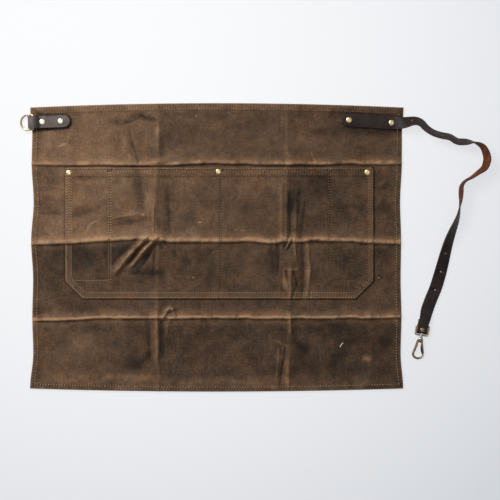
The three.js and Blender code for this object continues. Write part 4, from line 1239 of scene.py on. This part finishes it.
# ---------------------------------------------------------------- rivets and stud
# profiles as radius and height: the caps' rolled rim, a domed top with a shallow ring round its
# centre, a top hammered nearly flat, and the disc behind the cloth
CAP_RIM = [(0, -0.2), (2.0, -0.2), (4.35, -0.15), (4.62, 0.02), (4.7, 0.3), (4.62, 0.62)]
DOMED_TOP = [(4.35, 0.9), (3.85, 1.2), (3.2, 1.44), (2.5, 1.6), (1.9, 1.68), (1.5, 1.64), (1.1, 1.55),
             (0.6, 1.5), (0, 1.48)]
FLAT_TOP = [(4.4, 0.98), (4.05, 1.25), (3.6, 1.42), (2.8, 1.58), (1.9, 1.68), (1.0, 1.74), (0, 1.76)]
BACK_DISC = [(0, -0.98), (1.6, -0.98), (2.2, -0.9), (3.4, -0.82), (4.1, -0.62), (4.45, -0.3), (4.35, 0),
             (0, 0)]
STUD_HEAD = [(0, -0.3), (3.3, -0.3), (3.5, 0.05), (3.5, 0.4), (3.2, 0.8), (2.5, 1.15), (1.6, 1.35),
             (1.3, 1.32), (1.1, 1.22), (0.9, 1.3), (0.5, 1.4), (0, 1.42)]
STUD_SCREW = [(0, 0), (2.9, 0), (3.2, 0.2), (3.2, 0.6), (1.4, 0.62), (1.4, 5.5), (0, 5.5)]


def turned_piece(name, profile, place, material):
    """Piece turned about an upright axis through a place."""
    return mesh_object(name, *placed(lathe(profile), Matrix.Translation(place)), [material])


def make_rivets(brass, pale):
    """Cap and back disc of each rivet, with the node that each replaces."""
    pieces = []
    for name, (x, y, top) in RIVETS.items():
        on_tab = "tab" in name
        # the tab's rivets take the paler copy of the brass: painted reflection
        material = pale if on_tab else brass
        cap = CAP_RIM + (FLAT_TOP if on_tab else DOMED_TOP)
        pieces.append((turned_piece(f"{name}_dome", cap, (x, y, top + 0.3), material), f"{name}_cap"))
        pieces.append((turned_piece(f"{name}_disc", BACK_DISC, (x, y, -0.02), material), f"{name}_back"))
    return pieces


def make_stud(material):
    """Head and screw of the stud that holds the strap's fold, with the nodes they replace."""
    x, y, _ = clip_point(0, STUD_AT, 0)
    top = CLIP_ORIGIN[2] + FOLD_RADIUS + STRAP_END_LEATHER / 2 + 0.3
    return [(turned_piece("stud_head", STUD_HEAD, (x, y, top), material), "strap_stud_post"),
            (turned_piece("stud_screw", STUD_SCREW, (x, y, -1), material), "strap_stud_screw")]


# ---------------------------------------------------------------- swivel clip
EYE_WIRE, EYE_HALF_WIDTH, MIDDLE_BAR = 1.3, 10.3, 1.0
GATE_PIVOT, GATE_TIP = np.array([2.2, -9.6, 0]), np.array([6.9, -28.6, 0])
HOOK_ROUTE = [(-2.6, -6.5), (-4.2, -10), (-5.2, -15), (-6.1, -19.7), (-7.6, -26), (-8.7, -30.5),
              (-7.3, -34.8), (-3.8, -37), (0.2, -37.4), (4.1, -35.8), (6.5, -32.8), (6.95, -31.1)]
# the hook's head: distance back, its left and right sides, and half its thickness
HEAD_STATIONS = [(-3.4, -1.9, 1.9, 1.7), (-4.2, -2.7, 2.6, 2.2), (-5.8, -3.9, 3.2, 2.45),
                 (-7.4, -5.1, 3.8, 2.5), (-9.4, -5.6, 4.2, 2.5), (-10.8, -5.9, 4.2, 2.3),
                 (-11.8, -5.4, 3.4, 1.6)]
# how square the head's section is: 1 is an ellipse, 0 a box
HEAD_ROUNDNESS = 0.62
# profiles as radius and height or distance back
BOSS = [(0, -1.6), (2.1, -1.6), (2.5, -1.1), (2.55, 0), (2.5, 0.8), (2.1, 1.3), (0, 1.3)]
COLLAR = [(0, -5.2), (2.7, -5.2), (2.7, -4.2), (2.2, -3.8), (2.15, -3.5), (2.55, -3.2), (2.55, -2.25),
          (2.2, -1.95), (0, -1.95)]
POST_HEAD = [(0, 2.46), (1.2, 2.42), (1.9, 2.25), (2.1, 1.85), (1.9, 1.6), (0, 1.6)]
STEM = [(0, 1.8), (0.95, 1.8), (0.95, -3), (0, -3)]
ROUND_LUG = [(0, -0.9), (1.55, -0.9), (1.7, -0.7), (1.7, 0.7), (1.55, 0.9), (0, 0.9)]
PIN_BORE = [(0, -4), (0.9, -4), (0.9, 4), (0, 4)]
PIN = [(0, -2.55), (0.5, -2.5), (0.85, -2.3), (0.7, -2.1), (0.6, -2.0), (0.6, 2.0), (0.7, 2.1),
       (0.85, 2.3), (0.5, 2.5), (0, 2.55)]
SPRING_ROUTE = [(-0.95, -7.1), (-0.75, -8.2), (-0.45, -9.4), (-0.62, -10.5), (-1.0, -11.2)]
SPRING_WIDTH, SPRING_LEAF = 1.6, 0.24
# corners of the slot in the hook's head
SLOT = ((-1.2, -13.5, -1.2), (8, -6.6, 1.2))
# where the plain finish of the post and its boss ends
BOSS_HALF_WIDTH, BOSS_BACK, POST_FROM = 2.6, 2.5, -6.2
clip_matrix = Matrix.Translation(Vector(CLIP_ORIGIN)) @ Matrix.Rotation(-CLIP_TILT, 4, "Z")
hook_matrix = clip_matrix @ Matrix.Rotation(HOOK_DROOP, 4, "X")


def turned(profile, segments=32):
    """Lathe about the clip's own length, Y; profile is radius and distance back."""
    points, faces = lathe(profile, segments)
    return np.stack([points[:, 0], points[:, 2], -points[:, 1]], 1), faces


def united(name, parts, material, matrix, cuts=()):
    """Joins overlapping closed parts into one skin and cuts others from it, all placed by a matrix."""
    first, *others = [placed(part, matrix) for part in parts]
    obj = mesh_object(name, *first, [material])
    for part in others:
        combined(obj, "UNION", part, material)
    for part in cuts:
        combined(obj, "DIFFERENCE", placed(part, matrix), material)
    return obj


def finished(obj, matrix, second, takes_second):
    """Gives a second finish to the faces whose centre, in the matrix's own frame, calls for it, and
    shades smoothly except across sharp edges."""
    obj.data.materials.append(second)
    inverse = matrix.inverted()
    for polygon in obj.data.polygons:
        polygon.material_index = int(takes_second(inverse @ (polygon.center / MM)))
        polygon.use_smooth = True
    obj.data.set_sharp_from_angle(angle=math.radians(35))
    return obj


def box_part(low, high):
    """Closed box between two corners."""
    (x0, y0, z0), (x1, y1, z1) = low, high
    ring = np.array([(x0, y0), (x1, y0), (x1, y1), (x0, y1)])
    rings = [np.column_stack([ring, np.full(4, z)]) for z in (z0, z1)]
    return loft(rings)


def make_eye(material, post):
    """Rectangular eye of wire, with the strap's bar across it and the boss that the post turns in."""
    corner, half = 2.6, EYE_HALF_WIDTH
    points = []
    for x, y, start in ((half, EYE_TOP, 0), (-half, EYE_TOP, 90), (-half, 0, 180), (half, 0, 270)):
        centre = (x - math.copysign(corner, x), y - corner if y else corner)
        points += arc_points(*centre, corner, start, start + 90, 7)
    wire = tube([(x, y, 0) for x, y in points], EYE_WIRE, 20, closed=True)
    bar = tube([(x, EYE_MIDDLE, 0) for x in np.linspace(-half, half, 5)], MIDDLE_BAR, 16, domed=False)
    obj = united("eye_frame", [wire, bar, turned(BOSS)], material, clip_matrix)
    return finished(obj, clip_matrix, post,
                    lambda place: abs(place.x) < BOSS_HALF_WIDTH and place.y < BOSS_BACK)


def squared(angles, wave):
    """Circle's coordinate drawn out towards a box."""
    return np.sign(wave(angles)) * np.abs(wave(angles)) ** HEAD_ROUNDNESS


def make_hook(material, post):
    """Teardrop hook: its head with the gate's slot, its arm, and the post that turns in the eye."""
    line = catmull_rom([(x, y, 0) for x, y in HOOK_ROUTE], 8)
    arm = tube(line, np.linspace(2.0, 1.6, len(line)), 20)
    turn = np.linspace(0, 2 * math.pi, 28, endpoint=False)
    across, up = squared(turn, np.cos), squared(turn, np.sin)
    head = loft([np.column_stack([(left + right) / 2 + (right - left) / 2 * across,
                                  np.full(len(turn), back), thick * up])
                 for back, left, right, thick in HEAD_STATIONS])
    bore = placed(lathe(PIN_BORE, 24), Matrix.Translation(Vector(GATE_PIVOT)))
    parts = [head, arm, turned(COLLAR), turned(STEM), turned(POST_HEAD)]
    obj = united("hook_frame", parts, material, hook_matrix, [box_part(*SLOT), bore])
    return finished(obj, hook_matrix, post, lambda place: place.y > POST_FROM)


def make_gate(material, dark):
    """Sprung gate: a bar that swells on its inner side, and the lug that turns on the pin."""
    length = float(np.linalg.norm(GATE_TIP - GATE_PIVOT))
    way = (GATE_TIP - GATE_PIVOT) / length
    inward = np.array([way[1], -way[0], 0])
    at = np.linspace(4.6, length - 0.9, 12)
    swell = np.sin(np.linspace(0.25, math.pi - 0.6, 12))
    middle = [GATE_PIVOT + way * a + inward * 0.75 * s for a, s in zip(at, swell)]
    bar = tube(middle, 1.6 + 0.85 * swell, 20, squash=0.75)
    lug = tube([GATE_PIVOT + way * a for a in np.linspace(-0.2, 5.6, 8)], np.linspace(1.7, 1.5, 8), 20,
               squash=0.52)
    at_pin = Matrix.Translation(Vector(GATE_PIVOT))
    obj = united("gate_bar", [bar, lug, placed(lathe(ROUND_LUG, 28), at_pin)], material, hook_matrix,
                 [placed(lathe(PIN_BORE, 24), at_pin)])
    pivot, inner = Vector(GATE_PIVOT), Vector(inward)
    return finished(obj, hook_matrix, dark, lambda place: (place - pivot).dot(inner) > 0.9)


def make_spring(material):
    """Bent leaf that lies in the head's slot and bears on the inner side of the gate."""
    line = catmull_rom([(x, y, 0) for x, y in SPRING_ROUTE], 6)
    ways = unit(np.gradient(line, axis=0))
    stations = [(point, way, UP, SPRING_WIDTH, SPRING_LEAF) for point, way in zip(line, ways)]
    vertices, faces, _ = strip_mesh(stations, round_edge=0.08)
    return mesh_object("spring_leaf", *placed((vertices, faces), hook_matrix), [material])


def make_pin(material):
    """Pin that the gate turns on, with its ends peened over."""
    part = placed(placed(lathe(PIN, 24), Matrix.Translation(Vector(GATE_PIVOT))), hook_matrix)
    return mesh_object("pin_rivet", *part, [material])


# ---------------------------------------------------------------- materials
# colours of the cloth from tone 0 to tone 1
CANVAS_TONES = [(0.0, (0.0130, 0.0080, 0.0051)), (0.25, (0.0475, 0.0268, 0.0150)),
                (0.5, (0.113, 0.0635, 0.0356)), (0.75, (0.213, 0.123, 0.0695)),
                (1.0, (0.355, 0.210, 0.121))]


class Nodes:
    """A material's node tree, with short names for the nodes that it is built from."""

    def __init__(self, name):
        self.material = bpy.data.materials.new(name)
        self.material.use_nodes = True
        self.tree = self.material.node_tree
        self.shader = self.tree.nodes["Principled BSDF"]
        self.place = self.new("ShaderNodeTexCoord").outputs["Object"]

    def feed(self, socket, value):
        """Links an output to a socket, or sets the socket to a number, a vector or a colour."""
        if isinstance(value, bpy.types.NodeSocket):
            self.tree.links.new(value, socket)
        elif socket.type == "RGBA":
            socket.default_value = (*value, 1)
        else:
            socket.default_value = value

    def new(self, kind, inputs=None, **settings):
        """Adds a node with its settings, then feeds its inputs."""
        node = self.tree.nodes.new(kind)
        for key, value in settings.items():
            setattr(node, key, value)
        for key, value in (inputs or {}).items():
            self.feed(node.inputs[key], value)
        return node

    def noise(self, scale, detail=4, roughness=0.55, stretch=None):
        """Noise in the object's own space; a stretch sets its scale along each axis."""
        place = self.place
        if stretch:
            place = self.new("ShaderNodeMapping", {"Vector": place, "Scale": stretch}).outputs["Vector"]
        inputs = {"Vector": place, "Scale": scale, "Detail": detail, "Roughness": roughness}
        return self.new("ShaderNodeTexNoise", inputs).outputs["Fac"]

    def wave(self, scale, direction, distortion=0.0):
        """Bands across a direction."""
        inputs = {"Vector": self.place, "Scale": scale, "Distortion": distortion, "Detail": 1}
        return self.new("ShaderNodeTexWave", inputs, bands_direction=direction).outputs["Fac"]

    def attribute(self, name):
        """Value of one of the mesh's float layers."""
        return self.new("ShaderNodeAttribute", attribute_name=name).outputs["Fac"]

    def math(self, operation, a, b=0.0, clamp=False):
        """Result of an operation on one or two values."""
        return self.new("ShaderNodeMath", {0: a, 1: b}, operation=operation, use_clamp=clamp).outputs[0]

    def ramp(self, fac, stops):
        """Colour at each place between 0 and 1, from stops of position and colour."""
        node = self.new("ShaderNodeValToRGB", {"Fac": fac})
        elements = node.color_ramp.elements
        while len(elements) < len(stops):
            elements.new(0.5)
        for element, (position, color) in zip(elements, stops):
            element.position = position
            element.color = (*color, 1)
        return node.outputs["Color"]

    def spread(self, fac, low, high, to_low, to_high):
        """Maps the span from low to high onto another."""
        inputs = {"Value": fac, "From Min": low, "From Max": high, "To Min": to_low, "To Max": to_high}
        return self.new("ShaderNodeMapRange", inputs).outputs["Result"]

    def vary(self, value, noise, amount, low=0.3, high=0.7):
        """Adds a noise to a value, as much up as down."""
        return self.math("ADD", value, self.spread(noise, low, high, -amount, amount))

    def mix(self, fac, a, b, blend="MIX"):
        """Mixes two colours; inputs 6 and 7 and output 2 are the node's colour sockets."""
        inputs = {0: fac, 6: a, 7: b}
        return self.new("ShaderNodeMix", inputs, data_type="RGBA", blend_type=blend).outputs[2]

    def bump(self, height, strength, distance, normal=None):
        """Normal bent by a height, on top of another bump's if there is one."""
        inputs = {"Height": height, "Strength": strength, "Distance": distance}
        if normal is not None:
            inputs["Normal"] = normal
        return self.new("ShaderNodeBump", inputs).outputs["Normal"]

    def finish(self, color, roughness, **others):
        """Feeds the shader's inputs, the others by the names of their sockets, and gives the material."""
        inputs = {"Base Color": color, "Roughness": roughness}
        inputs.update((key.replace("_", " "), value) for key, value in others.items())
        for key, value in inputs.items():
            self.feed(self.shader.inputs[key], value)
        return self.material


def canvas_tone(n, mottle, pleat):
    """Tone of the cloth: the painted one, with clouds, mottle and slubs of the weave."""
    tone = n.vary(n.attribute("tone"), mottle, 0.15)
    tone = n.vary(tone, n.noise(24, 2, 0.5), 0.06)
    tone = n.vary(tone, n.noise(380, 4, 0.85), 0.09)
    slubs = n.math("ADD", n.noise(1, 3, 0.7, (90, 800, 90)), n.noise(1, 3, 0.7, (800, 90, 800)))
    tone = n.vary(tone, slubs, 0.18, 0.6, 1.4)
    return n.math("ADD", tone, n.math("MULTIPLY", pleat, 0.08))


def canvas_material():
    """Waxed duck: brown, mottled with darker wax, rubbed pale and painted lighter on the lit side of the
    folds, with its weave as bump.
    """
    n = Nodes("waxed_canvas")
    mottle = n.noise(55, 8, 0.8)
    pleat = n.math("SINE", n.math("MULTIPLY", n.attribute("stitch"), 2 * math.pi))
    pleat = n.math("MULTIPLY", pleat, n.attribute("gather"))
    base = n.ramp(canvas_tone(n, mottle, pleat), CANVAS_TONES)
    patchy = n.spread(n.noise(420, 4, 0.7), 0.3, 0.7, 0.5, 1.1)
    # wax rubbed off the folds and edges, with painted highlight on the lit flanks of the folds
    scuff = n.math("MULTIPLY", n.attribute("scuff"), patchy, clamp=True)
    rubbed = n.mix(scuff, base, (0.42, 0.245, 0.137))
    cast = n.ramp(n.noise(17, 3, 0.6), [(0.34, (1.0, 0.945, 0.87)), (0.66, (0.92, 0.97, 1.0))])
    tinted = n.mix(1.0, rubbed, cast, "MULTIPLY")
    thread = n.math("MULTIPLY", n.wave(349, "X", 0.6), n.wave(349, "Y", 0.6))
    woven = n.mix(n.spread(thread, 0, 1, 0.12, 0.0), tinted, (0.012, 0.008, 0.006))
    normal = n.bump(thread, 0.35, 0.0004)
    normal = n.bump(pleat, 0.9, 0.00022, normal)
    normal = n.bump(n.noise(700, 3, 0.6), 0.32, 0.0006, normal)
    normal = n.bump(n.noise(70, 6, 0.7), 0.6, 0.0018, normal)
    rough = n.math("ADD", n.spread(mottle, 0.2, 0.8, 0.60, 0.74), n.math("MULTIPLY", scuff, 0.12))
    return n.finish(woven, rough, Normal=normal, Specular_IOR_Level=0.15)


def thread_material(name, dark, light):
    """Twisted thread that varies between two colours."""
    n = Nodes(name)
    color = n.ramp(n.noise(180, 3), [(0.3, dark), (0.7, light)])
    twist = n.bump(n.wave(900, "DIAGONAL"), 0.4, 0.0002)
    return n.finish(color, 0.8, Normal=twist, Specular_IOR_Level=0.1)


def leather_material(name, dark, light, roughness, cells, grain, shine=0.3, bent=None):
    """Clouded leather with a grain of that many cells a metre, and, if given, a colour of painted shade
    where the mesh's shade layer calls for it.
    """
    n = Nodes(name)
    color = n.ramp(n.noise(60, 5, 0.6), [(0.32, dark), (0.72, light)])
    # bent is the colour of painted shade, mixed in by the mesh's shade layer
    if bent:
        color = n.mix(n.attribute("slope_shade"), color, bent)
    edges = n.new("ShaderNodeTexVoronoi", {"Vector": n.place, "Scale": cells}, feature="DISTANCE_TO_EDGE")
    normal = n.bump(n.spread(edges.outputs["Distance"], 0, 0.18, 0, 1), grain, 0.0003)
    normal = n.bump(n.noise(130, 5, 0.6), 0.4, 0.0008, normal)
    rough = n.spread(n.noise(90, 4), 0.3, 0.7, roughness - 0.07, roughness + 0.08)
    return n.finish(color, rough, Normal=normal, Specular_IOR_Level=shine)


def metal_material(name, bright, dull, roughness, scale=300):
    """Metal that is bright with dull clouds of tarnish."""
    n = Nodes(name)
    color = n.ramp(n.noise(scale, 6, 0.65), [(0.34, dull), (0.62, bright)])
    rough = n.spread(n.noise(scale * 1.7, 5), 0.3, 0.7, roughness - 0.06, roughness + 0.12)
    normal = n.bump(n.noise(scale * 6, 3), 0.12, 0.0002)
    return n.finish(color, rough, Normal=normal, Metallic=1.0)


def table_material():
    """Pale sweep lit from within, so that shadows on it stay faint; it glows most at its far left."""
    n = Nodes("pale_table")
    split = n.new("ShaderNodeSeparateXYZ", {0: n.place})
    glow = 0.0
    for axis, slope in (("X", -0.15), ("Y", 0.25)):
        offset = split.outputs[axis]
        sloped = n.math("MULTIPLY", offset, slope)
        faded = n.math("MULTIPLY", n.math("MULTIPLY", offset, offset), -0.44)
        glow = n.math("ADD", glow, n.math("ADD", sloped, faded))
    shade = n.spread(glow, -0.306, 0.094, 0.0, 1.0)
    color = n.ramp(shade, [(0.0, (0.632, 0.654, 0.694)), (1.0, (0.985, 0.985, 1.0))])
    return n.finish((0.13, 0.132, 0.135), 0.8, Emission_Color=color, Emission_Strength=0.845,
                    Specular_IOR_Level=0.1)


def make_table(material):
    """The table, far wider than the view."""
    half = 6000
    corners = [(-half, -half, TABLE), (half, -half, TABLE), (half, half, TABLE), (-half, half, TABLE)]
    mesh_object("table_top", corners, [(0, 1, 2, 3)], [material])


# ---------------------------------------------------------------- assembly
def carried(piece, body, slot, *nodes):
    """Attaches a piece to what it rides on and hides the part's nodes that it replaces; its slot is not
    used.
    """
    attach(piece, body)
    if nodes:
        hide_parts(*nodes)
    return piece


make_camera()
make_lights()
bpy.context.scene.view_settings.view_transform = "Standard"

hair = leather_material("leather_hair_side", (0.011, 0.0068, 0.0060), (0.026, 0.0155, 0.0135),
                        0.5, 900, 0.3, 0.18)
# the tab's leather: a lighter copy of the hair side, painted light and sheen from the lamps close by, with
# darker painted shade on its slope from the bar
hair_lit_copy = leather_material("leather_hair_lit_copy", (0.050, 0.037, 0.031), (0.118, 0.090, 0.078),
                             0.40, 900, 0.4, 0.5, (0.014, 0.009, 0.008))
flesh = leather_material("leather_flesh_side", (0.042, 0.0115, 0.0050), (0.170, 0.048, 0.0165),
                         0.8, 1400, 0.4, 0.1)
edge = leather_material("leather_edge", (0.030, 0.011, 0.007), (0.080, 0.028, 0.016), 0.55, 1200, 0.1)
raw = leather_material("leather_raw", (0.22, 0.09, 0.04), (0.36, 0.16, 0.075), 0.8, 1500, 0.1)
brass = metal_material("brass", (0.84, 0.66, 0.36), (0.62, 0.45, 0.21), 0.33)
# a paler copy of the brass for the tab's rivets: painted reflection of the lamps near them
pale = metal_material("brass_lit_copy", (0.95, 0.90, 0.76), (0.86, 0.76, 0.52), 0.30)
ring_brass = metal_material("ring_brass", (0.66, 0.53, 0.31), (0.31, 0.225, 0.11), 0.24)
bronze = metal_material("bronze", (0.42, 0.27, 0.15), (0.20, 0.115, 0.06), 0.34, 320)
antique = metal_material("antique_brass", (0.66, 0.49, 0.25), (0.26, 0.18, 0.085), 0.27, 220)
aged = metal_material("aged_brass", (0.36, 0.255, 0.125), (0.085, 0.055, 0.026), 0.30, 260)
dark = metal_material("dark_brass", (0.050, 0.036, 0.020), (0.020, 0.014, 0.008), 0.42)
steel = metal_material("steel", (0.55, 0.53, 0.53), (0.30, 0.28, 0.29), 0.3)
canvas = canvas_material()
thread = thread_material("thread", (0.27, 0.175, 0.10), (0.60, 0.43, 0.26))
waxed_thread = thread_material("waxed_thread", (0.105, 0.060, 0.032), (0.27, 0.165, 0.092))
# near-black: painted shade in the needle holes
hole = thread_material("needle_hole_shade", (0.010, 0.007, 0.005), (0.022, 0.014, 0.009))
lint = thread_material("lint", (0.62, 0.56, 0.48), (0.80, 0.75, 0.68))
make_table(table_material())

strap, strap_points = make_strap(hair, flesh, edge, raw)
carried(strap, "apron", "leather", "waist_strap")

panel = carried(make_panel(canvas), "apron", "canvas", "apron_panel")
pocket = carried(make_pocket(canvas), "apron", "canvas", "pocket_panel")
hem_rows, waist_rows = panel_rows()
pale_rows, waxed_rows = pocket_rows()
on_panel = [make_stitching("hem_stitching", hem_rows, panel_top_at, thread, hole),
            make_stitching("waist_stitching", waist_rows, panel_top_at, waxed_thread, hole),
            make_lint(lint)]
on_pocket = [make_stitching("pocket_stitching", pale_rows, pocket_top_at, thread, hole),
             make_stitching("pocket_inner_stitching", waxed_rows, pocket_top_at, waxed_thread, hole)]
for piece in on_panel + on_pocket:
    carried(piece, "apron", "canvas")
carried(make_tab(hair_lit_copy, flesh, edge), "apron", "leather", "d_ring_tab")
carried(make_ring(ring_brass), "ring", "brass", "d_ring")
for piece, node in make_rivets(brass, pale):
    carried(piece, "apron", "brass", node)
studs = [carried(piece, "apron", "brass", node) for piece, node in make_stud(bronze)]
eye = carried(make_eye(antique, steel), "apron", "aged_brass", "swivel_eye")
hook = carried(make_hook(aged, steel), "hook", "aged_brass", "hook_body")
gate = carried(make_gate(aged, dark), "gate", "aged_brass", "hook_gate")
pin = carried(make_pin(steel), "hook", "steel", "gate_pin")
spring = carried(make_spring(steel), "hook", "steel", "gate_spring")
